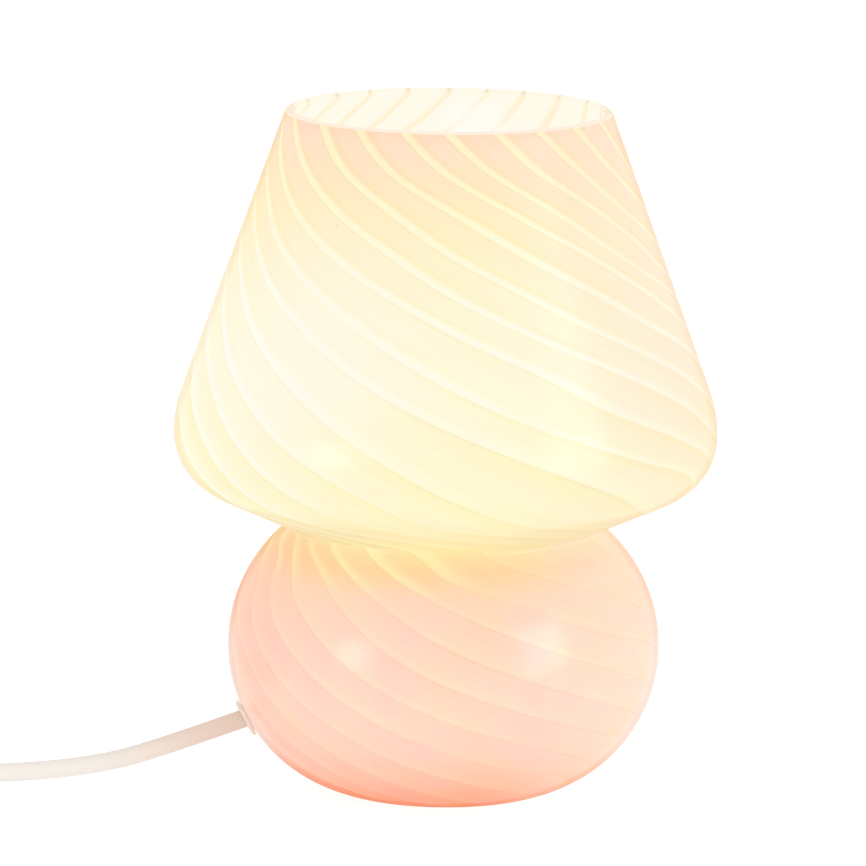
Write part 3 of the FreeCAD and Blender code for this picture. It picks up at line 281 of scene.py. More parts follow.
# Other materials: noises as scale and detail, bumps as strength and height in m
UNEVEN, SCRATCHES, STAINS, FLOW = (60.0, 2.0), (420.0, 3.0), (90.0, 3.0), (70.0, 2.0)
RIPPLE_BUMP, SCRATCH_BUMP, FLOW_BUMP = (0.1, 0.004), (0.08, 0.0002), (0.05, 0.0006)
GRAIN_DETAIL, GRAIN_HEIGHT, GRAIN_ROUGHNESS = 2.0, 0.0004, 0.06
SCRATCH_ROUGHNESS, STAIN_DEPTH, FLOW_TONES = 0.1, 0.5, (0.97, 1.03)
LAMP_LIGHT_REACH = (-0.105, -0.058)  # in m, where the lamp's painted light and shade on the cord sets in
SCRATCH_STRETCH = (1.0, 1.0, 14.0)
TARNISH = 0.72
CHIP_WAVE = 5200.0  # radians per metre
CHIP_DEPTH, ROD_GLOW = 0.12, 6.0

# Places of the bulb's glow on the outside and on the inner wall, in metres
OUTER_GLOW_AT, INNER_GLOW_AT = (-0.045, -0.056, 0.131), (0.0075, 0.046, 0.18)
OUTER_GLOW_REACH, INNER_GLOW_REACH = (0.005, 0.055), (0.002, 0.015)

# Stage, and its soft boxes: name, place, size and power; each faces the target
STAGE_HALF = 6
STAGE_GREY, STAGE_GLOW = (0.3, 0.3, 0.3), 0.85
SOFT_BOXES = (
    ("box_right", (1.3, -0.85, 0.35), (0.7, 0.9), 10),
    ("box_left", (-1.085, -0.977, 0.27), (0.4, 0.4), 3),
    ("box_top", (0, -0.2, 1.8), (1.4, 1.4), 3),
)


def srgb(red, green, blue):
    """A colour of 0 to 255 values as linear light."""
    parts = [c / 255 for c in (red, green, blue)]
    return [c / 12.92 if c <= 0.04045 else ((c + 0.055) / 1.055) ** 2.4 for c in parts]


# Camera and cords


def add_camera():
    data = bpy.data.cameras.new("camera")
    data.sensor_width = CAMERA_SENSOR
    data.lens = CAMERA_LENS
    data.shift_x, data.shift_y = CAMERA_SHIFT
    camera = bpy.data.objects.new("camera", data)
    bpy.context.scene.collection.objects.link(camera)
    back = Vector((0, -math.cos(CAMERA_ELEVATION), math.sin(CAMERA_ELEVATION)))
    camera.location = TARGET + back * CAMERA_DISTANCE
    look = (-back).to_track_quat("-Z", "Y").to_matrix().to_4x4()
    roll = Matrix.Rotation(CAMERA_ROLL, 4, "Z")
    camera.rotation_mode = "QUATERNION"
    camera.rotation_quaternion = (look @ roll).to_quaternion()
    bpy.context.scene.camera = camera


def flex(name, points):
    """A round cord whose smooth line has these control points, in millimetres."""
    curve = bpy.data.curves.new(name, "CURVE")
    curve.dimensions = "3D"
    curve.bevel_depth = 1.0
    curve.bevel_resolution = 8
    curve.resolution_u = 12
    curve.use_fill_caps = True
    spline = curve.splines.new("NURBS")
    spline.points.add(len(points) - 1)
    for spot, point in zip(spline.points, points):
        spot.co = (point[0] * MM, point[1] * MM, point[2] * MM, 1)
        spot.radius = CORD_DIAMETER / 2
    spline.order_u = 3
    spline.use_endpoint_u = True
    piece = bpy.data.objects.new(name, curve)
    bpy.context.scene.collection.objects.link(piece)
    return piece


def coil_points():
    """Two layers of turns: in on the surface, up in one half turn, and out again on top."""
    halves = COIL_HALF_TURNS
    spread = 1 / math.cos(math.pi / COIL_POINTS / 2)
    x, y, z = COIL_CENTRE[0], COIL_CENTRE[1] + COIL_RADIUS + COIL_PITCH / 4, COIL_LOW
    side, points = 1, []
    for number in range(2 * halves + 1):
        radius = COIL_RADIUS - COIL_PITCH / 2 * min(number, 2 * halves - number)
        climb = COIL_PITCH if number == halves else 0
        middle = y - side * radius
        for step in range(COIL_POINTS):
            share = (step + 0.5) / COIL_POINTS
            turn = math.pi * share
            wide = radius * spread
            across, along = side * wide * math.sin(turn), side * wide * math.cos(turn)
            points.append((x + across, middle + along, z + climb * share))
        y, z, side = middle - side * radius, z + climb, -side
    return points


add_camera()

lamp_flex = flex("lamp_flex", [tuple(c / MM for c in CORD_EXIT), *LAMP_LEAD])
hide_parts("lamp_lead")
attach(lamp_flex, "lamp")

plug_flex = flex("plug_flex", [*SWITCH_LEAD, *coil_points(), *PLUG_LEAD])
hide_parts("switch_lead", "cord_coil", "plug_lead")
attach(plug_flex, "lamp")

inner_flex = flex("inner_flex", INNER_CORD)
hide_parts("inner_cord")
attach(inner_flex, "lamp")

# Glass


def arc(centre, radius, start, end, count):
    """Points of an arc between two angles, the first one left out."""
    turns = np.linspace(start, end, count + 1)[1:]
    return [(centre[0] + radius * math.cos(t), centre[1] + radius * math.sin(t)) for t in turns]


def line(start, end, count):
    """Points of a line between two points, the first one left out."""
    shares = np.linspace(0, 1, count + 1)[1:]
    out, up = end[0] - start[0], end[1] - start[1]
    return [(start[0] + out * s, start[1] + up * s) for s in shares]


def tangent_arc(rise, run):
    """Radius of the arc that is upright at its widest and comes in by run over the rise."""
    return (run**2 + rise**2) / (2 * run)


def glass_profile():
    """Outside of the glass from the middle of the foot to the lip, and then the inside down.

    The last number of each arc and line is its count of points.
    """
    low = tangent_arc(BASE_WIDEST, BASE_RADIUS - FOOT_RADIUS)
    rise = WAIST_HEIGHT - BASE_WIDEST
    high = tangent_arc(rise, BASE_RADIUS - WAIST_RADIUS)
    sin, cos = math.sin(UNDERSIDE), math.cos(UNDERSIDE)
    gap = (SHADE_WIDEST - WAIST_HEIGHT) * cos - (SHADE_RADIUS - WAIST_RADIUS) * sin
    under = gap / (1 - sin)
    under_centre = (SHADE_RADIUS - under, SHADE_WIDEST)
    cone_centre = (SHADE_RADIUS - SHOULDER_ROUND, SHADE_WIDEST)
    up, out = RIM_HEIGHT - SHADE_WIDEST, RIM_RADIUS - cone_centre[0]
    cone = math.atan2(up, out) - math.acos(SHOULDER_ROUND / math.hypot(out, up))
    low_centre = (BASE_RADIUS - low, BASE_WIDEST)
    high_centre = (BASE_RADIUS - high, BASE_WIDEST)
    # the groove is a small arc that touches the base's arc and the underside
    groove_x = WAIST_RADIUS + WAIST_ROUND * sin - high_centre[0]
    groove_y = rise - WAIST_ROUND * cos
    along = groove_x * cos + groove_y * sin
    step = math.sqrt((high + WAIST_ROUND) ** 2 - groove_x**2 - groove_y**2 + along**2) - along
    groove = (high_centre[0] + groove_x + step * cos, BASE_WIDEST + groove_y + step * sin)
    neck = math.atan2(groove[1] - BASE_WIDEST, groove[0] - high_centre[0])
    quarter = math.pi / 2
    punt = (FOOT_INNER**2 + PUNT**2) / (2 * PUNT)
    lean = math.asin(FOOT_INNER / punt)
    outer = arc((0, PUNT - punt), punt, quarter - lean / MIDDLE_PARTS, quarter - lean, 10)
    outer += line(outer[-1], (FOOT_RADIUS, 0), 4)
    outer += arc(low_centre, low, -math.asin(BASE_WIDEST / low), 0, 40)
    outer += arc(high_centre, high, 0, neck, 34)
    outer += arc(groove, WAIST_ROUND, neck + math.pi, quarter + UNDERSIDE, 6)
    end = (under_centre[0] + under * sin, under_centre[1] - under * cos)
    outer += line(outer[-1], end, 20)
    outer += arc(under_centre, under, UNDERSIDE - quarter, 0, 14)
    outer += arc(cone_centre, SHOULDER_ROUND, 0, cone, 12)
    top = (RIM_RADIUS, RIM_HEIGHT)
    outer += line(outer[-1], top, 54)
    lip = WALL / 2
    lip_centre = (top[0] - lip * math.cos(cone), top[1] - lip * math.sin(cone))
    edge = arc(lip_centre, lip, cone, cone + math.pi, 10)
    inner = line(edge[-1], shifted(cone_centre, SHOULDER_ROUND - WALL, cone), 20)
    inner += arc(cone_centre, SHOULDER_ROUND - WALL, cone, 0, 8)
    inner += arc(under_centre, under - WALL, 0, UNDERSIDE - quarter, 8)
    ridge = WALL + WAIST_ROUND
    inner += line(inner[-1], (groove[0] - ridge * sin, groove[1] + ridge * cos), 10)
    inner += arc(groove, ridge, quarter + UNDERSIDE, neck + math.pi, 6)
    inner += arc(high_centre, high - WALL, neck, 0, 14)
    floor = math.asin((FLOOR - BASE_WIDEST) / (low - WALL))
    inner += arc(low_centre, low - WALL, 0, floor, 18)
    dome = (inner[-1][0] ** 2 + PUNT**2) / (2 * PUNT)
    lean = math.asin(inner[-1][0] / dome)
    inner += arc((0, FLOOR + PUNT - dome), dome, quarter - lean, quarter - lean / MIDDLE_PARTS, 8)
    return outer, edge, inner


def shifted(centre, radius, angle):
    """The point at an angle from a centre."""
    return centre[0] + radius * math.cos(angle), centre[1] + radius * math.sin(angle)


def course_tables():
    """For each course the azimuth of every stripe, all the way round, one full turn."""
    tables = []
    for _, first, seen in COURSES:
        spare = (360 - (seen[-1] - seen[0])) / (STRIPES - len(seen) + 1)
        angles = list(seen) + [seen[-1] + spare * (k + 1) for k in range(STRIPES - len(seen))]
        turns = [divmod(k - first, STRIPES) for k in range(STRIPES)]
        tables.append([angles[place] + 360 * turn for turn, place in turns])
    return np.array(tables)


def swirl(runs):
    """Azimuth in radians of every column at each run along the outside, smooth in both ways."""
    tables = course_tables()
    stations = np.array([c[0] for c in COURSES])
    columns = STRIPES * COLUMNS_PER_STRIPE
    phase = np.arange(columns + 1) / COLUMNS_PER_STRIPE
    # with a few stripes more on both ends, so that the cubic closes
    wide = np.concatenate([tables[:, -2:] - 360, tables, tables[:, :3] + 360], axis=1)
    numbers = np.arange(-2, STRIPES + 3)
    rows = np.array([smooth(numbers, row, phase) for row in wide])
    return np.radians(np.array([smooth(stations, rows[:, k], runs) for k in range(columns + 1)]).T)


def smooth(knots, values, wanted):
    """Cubic through the values, with the slopes of their neighbours."""
    slopes = np.gradient(values, knots)
    place = np.clip(np.searchsorted(knots, wanted, side="right") - 1, 0, len(knots) - 2)
    span = knots[place + 1] - knots[place]
    t = np.clip((wanted - knots[place]) / span, 0, 1)
    return (
        values[place] * (2 * t**3 - 3 * t**2 + 1)
        + slopes[place] * span * (t**3 - 2 * t**2 + t)
        + values[place + 1] * (3 * t**2 - 2 * t**3)
        + slopes[place + 1] * span * (t**3 - t**2)
    )


def glass_mesh():
    """The glass with its stripes along the columns of its mesh, as fine ribs and as a UV map."""
    outer, edge, inner = glass_profile()
    spots = np.array(outer + edge + inner)
    steps = np.hypot(*np.diff(np.array(outer), axis=0).T)
    foot = len([p for p in outer if p[1] < FLAT or p[0] < FOOT_RADIUS and p[1] <= PUNT]) - 1
    run = np.concatenate([[0], np.cumsum(steps)])
    run = np.clip(run - run[foot], 0, None)
    run_edge = np.full(len(edge), run[-1])
    inner_heights = np.array([p[1] for p in inner])
    climbing = np.arange(foot, len(outer))
    heights = np.maximum.accumulate(np.array(outer)[climbing, 1])
    run_inner = np.interp(inner_heights, heights, run[climbing])
    runs = np.concatenate([run, run_edge, run_inner])
    azimuth = swirl(runs)
    rings, columns = len(spots), STRIPES * COLUMNS_PER_STRIPE
    tangent = np.gradient(spots, axis=0)
    normal = np.stack([tangent[:, 1], -tangent[:, 0]], 1)
    normal /= np.linalg.norm(normal, axis=1)[:, None]
    phase = (np.arange(columns) % COLUMNS_PER_STRIPE) / COLUMNS_PER_STRIPE
    near = np.minimum(phase, 1 - phase)
    rib = np.exp(-((near / RIB_WIDTH) ** 2))
    ring_numbers = np.arange(rings)
    # the ribs end two rings below the lip
    lift = np.clip((ring_numbers - foot) / RIB_RINGS, 0, 1) * (ring_numbers < len(outer) - 2)
    vertices, faces, marks = [], [], []
    for ring in range(rings):
        for column in range(columns):
            out = RIB_HEIGHT * (rib[column] - 0.5) * lift[ring]
            radius = spots[ring, 0] + normal[ring, 0] * out
            height = spots[ring, 1] + normal[ring, 1] * out
            turn = azimuth[ring, column]
            x, y = radius * math.sin(turn), -radius * math.cos(turn)
            vertices.append((x * MM, y * MM, height * MM))
    # the last two rings of the lip count as the inside
    on_edge, within = np.full(len(edge) - 2, LIP_MARK), np.full(len(inner) + 2, INSIDE_MARK)
    level = np.concatenate([run / run[-1], on_edge, within])
    for ring in range(rings - 1):
        for column in range(columns):
            after = (column + 1) % columns
            a, b = ring * columns + column, ring * columns + after
            faces.append((a, b, b + columns, a + columns))
            u, w = column / COLUMNS_PER_STRIPE, (column + 1) / COLUMNS_PER_STRIPE
            v, x = level[ring], level[ring + 1]
            marks += [(u, v), (w, v), (w, x), (u, x)]
    faces.append(tuple(range(columns))[::-1])
    marks += [(0, 0)] * columns
    last = (rings - 1) * columns
    faces.append(tuple(range(last, last + columns)))
    marks += [(0, level[-1])] * columns
    mesh = bpy.data.meshes.new("swirled_glass")
    mesh.from_pydata(vertices, [], faces)
    layer = mesh.uv_layers.new(name="swirl")
    layer.data.foreach_set("uv", np.array(marks, np.float32).ravel())
    piece = bpy.data.objects.new("swirled_glass", mesh)
    bpy.context.scene.collection.objects.link(piece)
    bore(piece)
    piece.data.shade_smooth()
    piece.data.set_sharp_from_angle(angle=SMOOTH_ANGLE)
    return piece


def bore(piece):
    """Cuts the round hole that the cord's bush sits in."""
    flat, fall = math.cos(BORE_TILT), -math.sin(BORE_TILT)
    along = Vector((math.cos(BORE_AZIMUTH) * flat, math.sin(BORE_AZIMUTH) * flat, fall))
    turn = along.to_track_quat("Z", "Y")
    ring = []
    for side in range(BORE_SIDES):
        angle = 2 * math.pi * side / BORE_SIDES
        ring.append((BORE_RADIUS * math.cos(angle), BORE_RADIUS * math.sin(angle)))
    spots = [(x, y, -BORE_HALF) for x, y in ring] + [(x, y, BORE_HALF) for x, y in ring]
    places = [(BORE_MIDDLE + turn @ Vector(spot)) * MM for spot in spots]
    faces = [tuple(range(BORE_SIDES))[::-1], tuple(range(BORE_SIDES, 2 * BORE_SIDES))]
    for side in range(BORE_SIDES):
        after = (side + 1) % BORE_SIDES
        faces.append((side, after, after + BORE_SIDES, side + BORE_SIDES))
    mesh = bpy.data.meshes.new("bore")
    mesh.from_pydata(places, [], faces)
    mesh.uv_layers.new(name="swirl")
    cutter = bpy.data.objects.new("bore", mesh)
    bpy.context.scene.collection.objects.link(cutter)
    cut = piece.modifiers.new("bore", "BOOLEAN")
    cut.operation = "DIFFERENCE"
    cut.solver = "EXACT"
    cut.object = cutter
    bpy.context.view_layer.update()
    done = piece.evaluated_get(bpy.context.evaluated_depsgraph_get())
    piece.data = bpy.data.meshes.new_from_object(done)
    piece.modifiers.clear()
    bpy.data.objects.remove(cutter)


# Materials


class Nodes:
    """Short ways to add the nodes of one material."""

    def __init__(self, name):
        self.material = bpy.data.materials.new(name)
        self.material.use_nodes = True
        self.tree = self.material.node_tree
        self.shader = self.tree.nodes["Principled BSDF"]

    def add(self, kind, inputs=(), **settings):
        node = self.tree.nodes.new(kind)
        for key, setting in settings.items():
            setattr(node, key, setting)
        for socket, given in dict(inputs).items():
            self.put(node.inputs[socket], given)
        return node

    def put(self, socket, given):
        if isinstance(given, bpy.types.NodeSocket):
            self.tree.links.new(given, socket)
        else:
            socket.default_value = given

    def math(self, operation, first, second=0.0, third=0.0):
        node = self.add("ShaderNodeMath", {0: first, 1: second, 2: third}, operation=operation)
        return node.outputs[0]

    def between(self, factor, at_zero, at_one):
        """On a line through two values, the ones where the factor is 0 and 1."""
        return self.math("MULTIPLY_ADD", factor, at_one - at_zero, at_zero)

    def ramp(self, factor, stops):
        """A colour ramp of (place, colour) stops."""
        node = self.add("ShaderNodeValToRGB", {0: factor})
        band = node.color_ramp
        while len(band.elements) < len(stops):
            band.elements.new(0.5)
        for element, (place, colour) in zip(band.elements, stops):
            element.position = place
            element.color = [*colour, 1]
        return node.outputs[0]

    def mix(self, factor, first, second, blend="MIX"):
        node = self.add("ShaderNodeMix", data_type="RGBA", blend_type=blend)
        self.put(node.inputs["Factor"], factor)
        self.put(node.inputs[6], first)
        self.put(node.inputs[7], second)
        return node.outputs[2]

    def product(self, *factors):
        result = factors[0]
        for factor in factors[1:]:
            result = self.math("MULTIPLY", result, factor)
        return result

    def tinted(self, factor, colour, tint):
        """The colour multiplied by a tint, as far as the factor says."""
        return self.mix(factor, colour, tint, "MULTIPLY")

    def grey(self, red, green=None):
        """A tint of a tone, or of a red and another tone for green and blue."""
        rest = red if green is None else green
        return self.add("ShaderNodeCombineColor", {0: red, 1: rest, 2: rest}).outputs[0]

    def noise(self, place, scale, detail):
        inputs = {"Vector": place, "Scale": scale, "Detail": detail}
        return self.add("ShaderNodeTexNoise", inputs).outputs[0]

    def span(self, reading, low, high, start=0.0, end=1.0):
        """Smoothly from start to end while the reading goes from low to high."""
        inputs = {"Value": reading, "From Min": low, "From Max": high}
        inputs.update({"To Min": start, "To Max": end})
        return self.add("ShaderNodeMapRange", inputs, interpolation_type="SMOOTHSTEP").outputs[0]

    def distance(self, place, spot):
        node = self.add("ShaderNodeVectorMath", {0: place, 1: spot}, operation="DISTANCE")
        return node.outputs["Value"]

    def set(self, **inputs):
        names = {key.replace("_", " "): key for key in inputs}
        for socket in self.shader.inputs:
            key = names.get(socket.name.lower())
            if key:
                self.put(socket, inputs[key])

    def bump(self, height, strength, distance):
        node = self.add(
            "ShaderNodeBump", {"Height": height, "Strength": strength, "Distance": distance}
        )
        self.put(self.shader.inputs["Normal"], node.outputs[0])


def rgba(colour):
    return (*colour, 1.0)


def paint(colour):
    """A colour of 0 to 255 values for a colour socket."""
    return rgba(srgb(*colour))


def tones(stops):
    """Stops of a ramp that are strengths."""
    return [(spot, (tone, tone, tone)) for spot, tone in stops]


def by_height(stops):
    """Stops of a ramp by height in millimetres."""
    return [(z / GLASS_TOP, stop) for z, stop in stops]


def colours_by_height(stops):
    return by_height([(z, srgb(*colour)) for z, colour in stops])


def swirled_glass_material():
    """Lit opal glass: peach bands, cream stripes with one hard edge, warmer towards the foot."""
    n = Nodes("swirled_glass")
    place = n.add("ShaderNodeTexCoord").outputs["Object"]
    split = n.add("ShaderNodeSeparateXYZ", {0: place})
    height = n.product(split.outputs[2], 1 / (GLASS_TOP * MM))
    swirl_map = n.add("ShaderNodeUVMap", uv_map="swirl").outputs[0]
    marks = n.add("ShaderNodeSeparateXYZ", {0: swirl_map})
    drift = n.between(n.noise(place, *WANDER), -WANDER_SIZE / 2, WANDER_SIZE / 2)
    phase = n.math("FRACT", n.math("ADD", marks.outputs[0], drift))
    facing = n.add("ShaderNodeLayerWeight", {"Blend": 0.5}).outputs["Facing"]
    patchy = n.noise(place, *PATCHES)
    # where on the way round: -1 at the cord's side, 0 at the front and the back, 1 opposite
    level = n.add("ShaderNodeCombineXYZ", {0: split.outputs[0], 1: split.outputs[1]}).outputs[0]
    way = n.add("ShaderNodeVectorMath", {0: level}, operation="NORMALIZE").outputs[0]
    aside = n.add("ShaderNodeSeparateXYZ", {0: way}).outputs[0]

    def climb(low, high):
        """From 0 to 1 between two heights in millimetres."""
        return n.span(height, low / GLASS_TOP, high / GLASS_TOP)

    def less(first, second):
        return n.math("SUBTRACT", first, second)

    def period(stops):
        """Strength along one period of the swirl."""
        return n.ramp(phase, tones(stops))

    on_shade = climb(*SHADE_FROM)
    # the stripes: crisp high on the shade, softer low on it, with a long fade on the base
    high_or_low = n.mix(climb(*CRISP_FROM), period(STRIPE_LOW), period(STRIPE_HIGH))
    shade_stripe = n.product(high_or_low, n.between(patchy, *PATCHY_STRIPES))
    base_stripe = n.mix(climb(*WAIST_STRIPE_FROM), period(STRIPE_BASE), period(STRIPE_WAIST))
    # next to the waist they stand out at the cord's side and fade at the other
    at_waist = n.between(n.span(aside, *WAIST_SIDE), *WAIST_ADDS)
    strong = n.math("MULTIPLY_ADD", climb(*WAIST_FADE_FROM), at_waist, BASE_STRIPES)
    stripe = n.mix(on_shade, n.product(base_stripe, strong), shade_stripe)

    bands = n.ramp(height, colours_by_height(BAND_COLOURS))
    lines = n.ramp(height, colours_by_height(STRIPE_COLOURS))
    # painted light: paler away from the cord's side, where the light from the right falls, with
    # whiter lines on the shade at the cord's side, where the bulb is nearer
    paler = n.span(aside, *PAINTED_LIGHT_SIDE)
    bands = n.mix(n.product(paler, PAINTED_LIGHT_BANDS), bands, paint(PAINTED_LIGHT_GLASS))
    lines = n.mix(n.product(paler, PAINTED_LIGHT_LINES), lines, paint(PAINTED_LIGHT_GLASS))
    whiter = n.product(n.span(aside, *WHITER_SIDE), less(on_shade, climb(*WHITER_UNTIL)))
    lines = n.mix(n.product(whiter, WHITER_LINES), lines, paint(PAINTED_LIGHT_STRIPE))
    colour = n.mix(stripe, bands, lines)

    # deeper bands on both sides of the stripes, and the thin line along their hard edge
    after = n.ramp(height, by_height(tones(AFTER_BY_HEIGHT)))
    colour = n.tinted(n.product(period(AFTER_STRIPE), after), colour, rgba(AFTER_TINT))
    before = n.product(period(BEFORE_STRIPE), less(on_shade, climb(*BEFORE_UNTIL)))
    colour = n.tinted(before, colour, rgba(BEFORE_TINT))
    edge_tint = n.mix(on_shade, rgba(EDGE_TINT_BASE), rgba(EDGE_TINT_SHADE))
    edge = n.product(period(HARD_EDGE), n.product(patchy, HARD_EDGE_DEPTH))
    colour = n.tinted(edge, colour, edge_tint)

    # fine streaks drawn out along the swirl
    drawn = {0: n.product(marks.outputs[0], STREAK_STRETCH), 1: n.product(height, STREAK_STRETCH)}
    streaks = n.noise(n.add("ShaderNodeCombineXYZ", drawn).outputs[0], *STREAKS)
    streak = n.between(streaks, *STREAK_TONES)
    colour = n.tinted(1.0, colour, n.grey(1.0, streak))
    # pinker and yellower clouds, mostly in the base
    cloudy = n.ramp(n.noise(place, *CLOUDS), CLOUD_TINTS)
    colour = n.tinted(n.between(on_shade, 1.0, CLOUDS_ON_SHADE), colour, cloudy)
    # glow of the bulb on its nearer side
    away = n.distance(place, OUTER_GLOW_AT)
    glow = n.span(away, *OUTER_GLOW_REACH, OUTER_GLOW_STRENGTH, 0.0)
    colour = n.mix(glow, colour, paint(NEAR_BULB))
    # painted shade: the base is a little darker at the cord's side
    painted_shade = n.product(n.span(aside, *PAINTED_SHADE_SIDE), less(climb(*PAINTED_SHADE_FROM), on_shade))
    colour = n.tinted(painted_shade, colour, rgba(PAINTED_SHADE_TINT))

    # the inner wall is paler, with one soft vein in each period and the glow of the bulb
    inner = n.mix(period(VEIN), paint(INNER_WALL), paint(INNER_VEIN))
    away = n.distance(place, INNER_GLOW_AT)
    inner_glow = n.span(away, *INNER_GLOW_REACH, INNER_GLOW_STRENGTH, 0.0)
    inner = n.mix(inner_glow, inner, paint(INNER_GLOW))
    # the lip, with the ends of the veins at its back
    across = {"Value": split.outputs[1], "From Min": LIP_DEPTH[0], "From Max": LIP_DEPTH[1]}
    behind = n.add("ShaderNodeMapRange", across).outputs[0]
    lip = n.mix(behind, paint(LIP_FRONT), paint(LIP_BACK))
    lip = n.mix(n.product(period(LIP_SPOT), behind), lip, paint(LIP_DARK))
    inside = n.math("GREATER_THAN", marks.outputs[1], (LIP_MARK + INSIDE_MARK) / 2)
    on_lip = n.math("GREATER_THAN", marks.outputs[1], (LIP_MARK + 1) / 2)
    colour = n.mix(inside, n.mix(on_lip, colour, lip), inner)

    # the few seeds in the glass
    for seed in SEEDS:
        dot = n.math("LESS_THAN", n.distance(place, seed), SEED_RADIUS)
        colour = n.mix(n.product(dot, SEED_DEPTH), colour, rgba(SEED_COLOUR))
    # painted shade: peach and darker towards the outline, less under the shade; and a little warmer
    # all over
    under = n.product(climb(*UNDERSIDE_FROM), less(1.0, climb(*UNDERSIDE_UNTIL)))
    outline = n.ramp(facing, OUTLINE_SHADE_TINTS)
    colour = n.tinted(n.between(under, 1.0, OUTLINE_UNDER_SHADE), colour, outline)
    colour = n.tinted(1.0, colour, rgba(WARM_TINT))
    # pale mirrored floor along the outline of the base
    low = n.ramp(height, by_height(tones(MIRROR_BY_HEIGHT)))
    mirrored = n.product(low, n.ramp(facing, tones(MIRROR_BY_FACING)))
    colour = n.mix(mirrored, colour, paint(MIRRORED_FLOOR))

    # lit from within, so little light is scattered; less gloss on the shade and inside
    scattered = n.between(inside, SCATTER_OUTSIDE, SCATTER_INSIDE)
    gloss = n.ramp(facing, tones(GLOSS_BY_FACING))
    less_on_shade = n.between(on_shade, 1.0, GLOSS_ON_SHADE)
    less_inside = n.math("MULTIPLY_ADD", inside, GLOSS_INSIDE_ADDS, less_on_shade)
    n.set(
        base_color=n.tinted(1.0, colour, n.grey(scattered)),
        emission_color=colour,
        emission_strength=n.between(inside, LIT_OUTSIDE, LIT_INSIDE),
        roughness=0.24,
        ior=1.45,
        specular_ior_level=n.product(gloss, less_inside),
    )
    n.bump(n.noise(place, *RIPPLE), *RIPPLE_BUMP)
    return n.material


def plastic(
    name, colour, roughness=0.35, grain=900.0, strength=0.05, shade=0.05, warm=None, **more
):
    """Moulded plastic with a fine grain and slight unevenness of colour, and painted light and
    shade of the lamp near it: pinker and darker.
    """
    n = Nodes(name)
    place = n.add("ShaderNodeTexCoord").outputs["Object"]
    fine = n.noise(place, grain, GRAIN_DETAIL)
    tone = n.between(n.noise(place, *UNEVEN), 1 - shade / 2, 1 + shade / 2)
    base = n.tinted(1.0, rgba(colour), n.grey(tone))
    if warm:
        along = n.add("ShaderNodeSeparateXYZ", {0: place}).outputs[0]
        # painted light and shade: pinker and darker near the lamp
        base = n.mix(n.span(along, *LAMP_LIGHT_REACH), base, rgba(warm))
    rough = n.between(fine, roughness - GRAIN_ROUGHNESS, roughness + GRAIN_ROUGHNESS)
    n.set(base_color=base, roughness=rough, **more)
    n.bump(fine, strength, GRAIN_HEIGHT)
    return n.material


def metal(name, colour, roughness=0.28):
    """Metal with fine drawn scratches and a slight tarnish."""
    n = Nodes(name)
    place = n.add("ShaderNodeTexCoord").outputs["Object"]
    drawn = n.add("ShaderNodeMapping", {"Vector": place, "Scale": SCRATCH_STRETCH}).outputs[0]
    scratches = n.noise(drawn, *SCRATCHES)
    darker = [c * TARNISH for c in colour]
    stained = n.product(n.noise(place, *STAINS), STAIN_DEPTH)
    smoothest, roughest = roughness - SCRATCH_ROUGHNESS, roughness + SCRATCH_ROUGHNESS
    n.set(
        base_color=n.mix(stained, rgba(colour), rgba(darker)),
        metallic=1.0,
        roughness=n.between(scratches, smoothest, roughest),
    )
    n.bump(scratches, *SCRATCH_BUMP)
    return n.material


def clear(name, colour, roughness, transmission, ior=1.5):
    """Clear plastic or glass with faint flow lines."""
    n = Nodes(name)
    place = n.add("ShaderNodeTexCoord").outputs["Object"]
    flow = n.noise(place, *FLOW)
    tone = n.between(flow, *FLOW_TONES)
    n.set(
        base_color=n.tinted(1.0, rgba(colour), n.grey(tone)),
        roughness=roughness,
        transmission_weight=transmission,
        ior=ior,
    )
    n.bump(flow, *FLOW_BUMP)
    return n.material


def filament_material():
    """Coated light-emitting rods, with the spots of their chips."""
    n = Nodes("filament_glow")
    place = n.add("ShaderNodeTexCoord").outputs["Object"]
    split = n.add("ShaderNodeSeparateXYZ", {0: place})
    wave = n.math("SINE", n.product(split.outputs[2], CHIP_WAVE))
    spots = n.between(wave, 1 - CHIP_DEPTH, 1.0)
    warm = n.tinted(1.0, paint((255, 214, 140)), n.grey(spots))
    n.set(base_color=warm, emission_color=warm, emission_strength=ROD_GLOW, roughness=0.5)
    return n.material


def dress(material, *pieces):
    """Puts one material on pieces or CAD nodes."""
    for piece in pieces:
        thing = NODES[piece] if isinstance(piece, str) else piece
        thing.data.materials.clear()
        thing.data.materials.append(material)


glass = glass_mesh()
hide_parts("glass_body")
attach(glass, "lamp")
dress(swirled_glass_material(), glass)

white_flex = plastic(
    "flex_sheath",
    srgb(217, 211, 204),
    0.3,
    grain=500.0,
    strength=0.03,
    # the lamp's painted light and shade on the cord near it
    warm=srgb(216, 194, 180),
)
dress(white_flex, lamp_flex, plug_flex, inner_flex, "switch_cord_ends")
bush_with_painted_glow = plastic(
    "bush_with_painted_glow",
    srgb(206, 188, 172),
    0.2,
    shade=0.2,
    # painted light: a faint peach glow, as the lamp's light shines through the bush
    emission_color=rgba(srgb(250, 214, 190)),
    emission_strength=0.12,
)
dress(bush_with_painted_glow, "cord_grommet")
holder_white = plastic("holder_plastic", srgb(222, 219, 211), 0.45)
dress(holder_white, "holder_cap", "holder_shell", "clamp_ring")
dress(plastic("insert_ceramic", srgb(226, 223, 216), 0.25, grain=300.0), "holder_insert")
brass = metal("brass", srgb(206, 168, 96))
dress(brass, "terminal_screws", "holder_screw_shell", "centre_contact", "bulb_contact")
dress(brass, "contact_blade", "switch_contacts")
steel = metal("steel", srgb(178, 178, 182))
dress(steel, "cord_grip_screw", "spring_carrier", "filament_wires", "switch_screws")
dress(clear("soft_sleeve", srgb(232, 226, 214), 0.4, 0.35, 1.42), "carrier_sleeves")
dress(metal("bulb_cap_metal", srgb(205, 205, 206), 0.24), "bulb_cap")
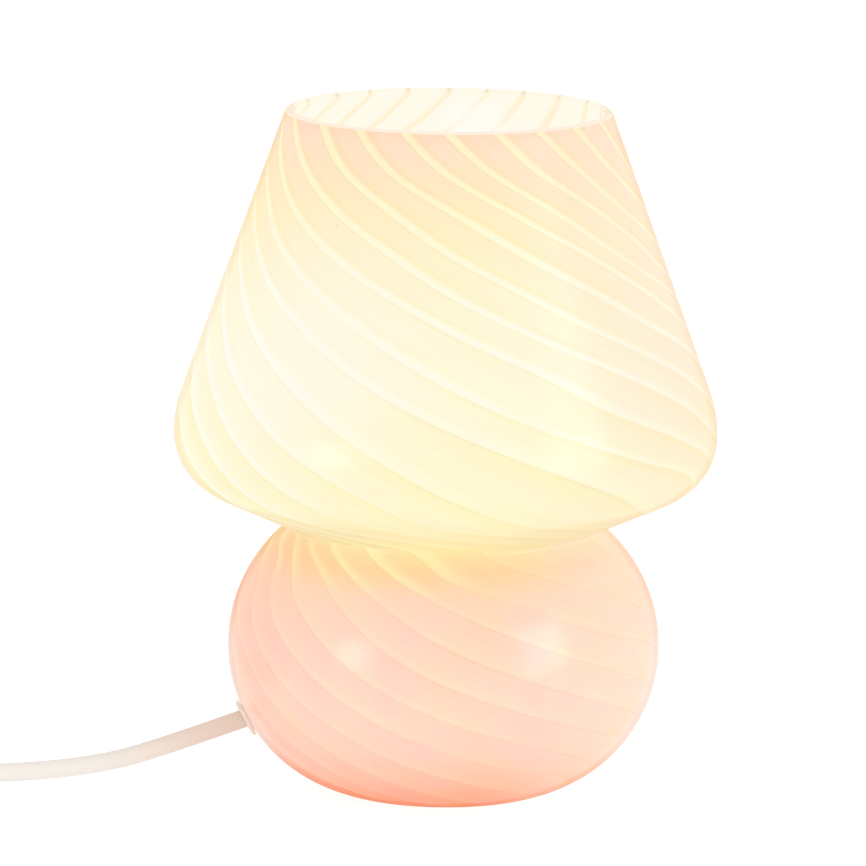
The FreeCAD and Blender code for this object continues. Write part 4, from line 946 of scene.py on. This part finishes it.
dress(plastic("black_glass", srgb(22, 22, 24), 0.12), "bulb_insulator", "plug_pin_sleeves")
dress(clear("bulb_glass_clear", (1.0, 0.985, 0.96), 0.02, 1.0), "bulb_glass", "bulb_stem")
dress(filament_material(), "bulb_filaments")
dress(plastic("core_sheath", srgb(112, 70, 44), 0.4), "core_wires", "switch_cores")
white_gloss = plastic("white_gloss", srgb(218, 215, 209), 0.22, strength=0.03)
dress(white_gloss, "switch_base", "switch_cover", "switch_rocker", "cord_clamps")
dress(white_gloss, "plug_body", "plug_strain_relief")
dress(metal("nickel", srgb(198, 196, 190), 0.2), "plug_pins")
dress(plastic("tie_plastic", srgb(60, 60, 62), 0.4), "coil_tie")


# Stage and light


def add_floor():
    half = STAGE_HALF
    mesh = bpy.data.meshes.new("floor")
    corners = [(-half, -half, 0), (half, -half, 0), (half, half, 0), (-half, half, 0)]
    mesh.from_pydata(corners, [], [(0, 1, 2, 3)])
    floor = bpy.data.objects.new("floor", mesh)
    bpy.context.scene.collection.objects.link(floor)
    n = Nodes("floor")
    n.set(
        base_color=rgba(STAGE_GREY),
        roughness=0.9,
        specular_ior_level=0.1,
        emission_color=rgba((1.0, 1.0, 1.0)),
        emission_strength=STAGE_GLOW,
    )
    dress(n.material, floor)


def add_world():
    """White light from all round."""
    world = bpy.data.worlds.new("studio")
    world.use_nodes = True
    background = world.node_tree.nodes["Background"]
    background.inputs[0].default_value = (1, 1, 1, 1)
    background.inputs[1].default_value = 1.0
    bpy.context.scene.world = world


def add_soft_box(name, place, size, power):
    data = bpy.data.lights.new(name, "AREA")
    data.shape = "RECTANGLE"
    data.size, data.size_y = size
    data.energy = power
    light = bpy.data.objects.new(name, data)
    light.location = place
    light.rotation_mode = "QUATERNION"
    light.rotation_quaternion = (TARGET - Vector(place)).to_track_quat("-Z", "Y")
    bpy.context.scene.collection.objects.link(light)


add_floor()
add_world()
bpy.context.scene.view_settings.view_transform = "Standard"
for soft_box in SOFT_BOXES:
    add_soft_box(*soft_box)
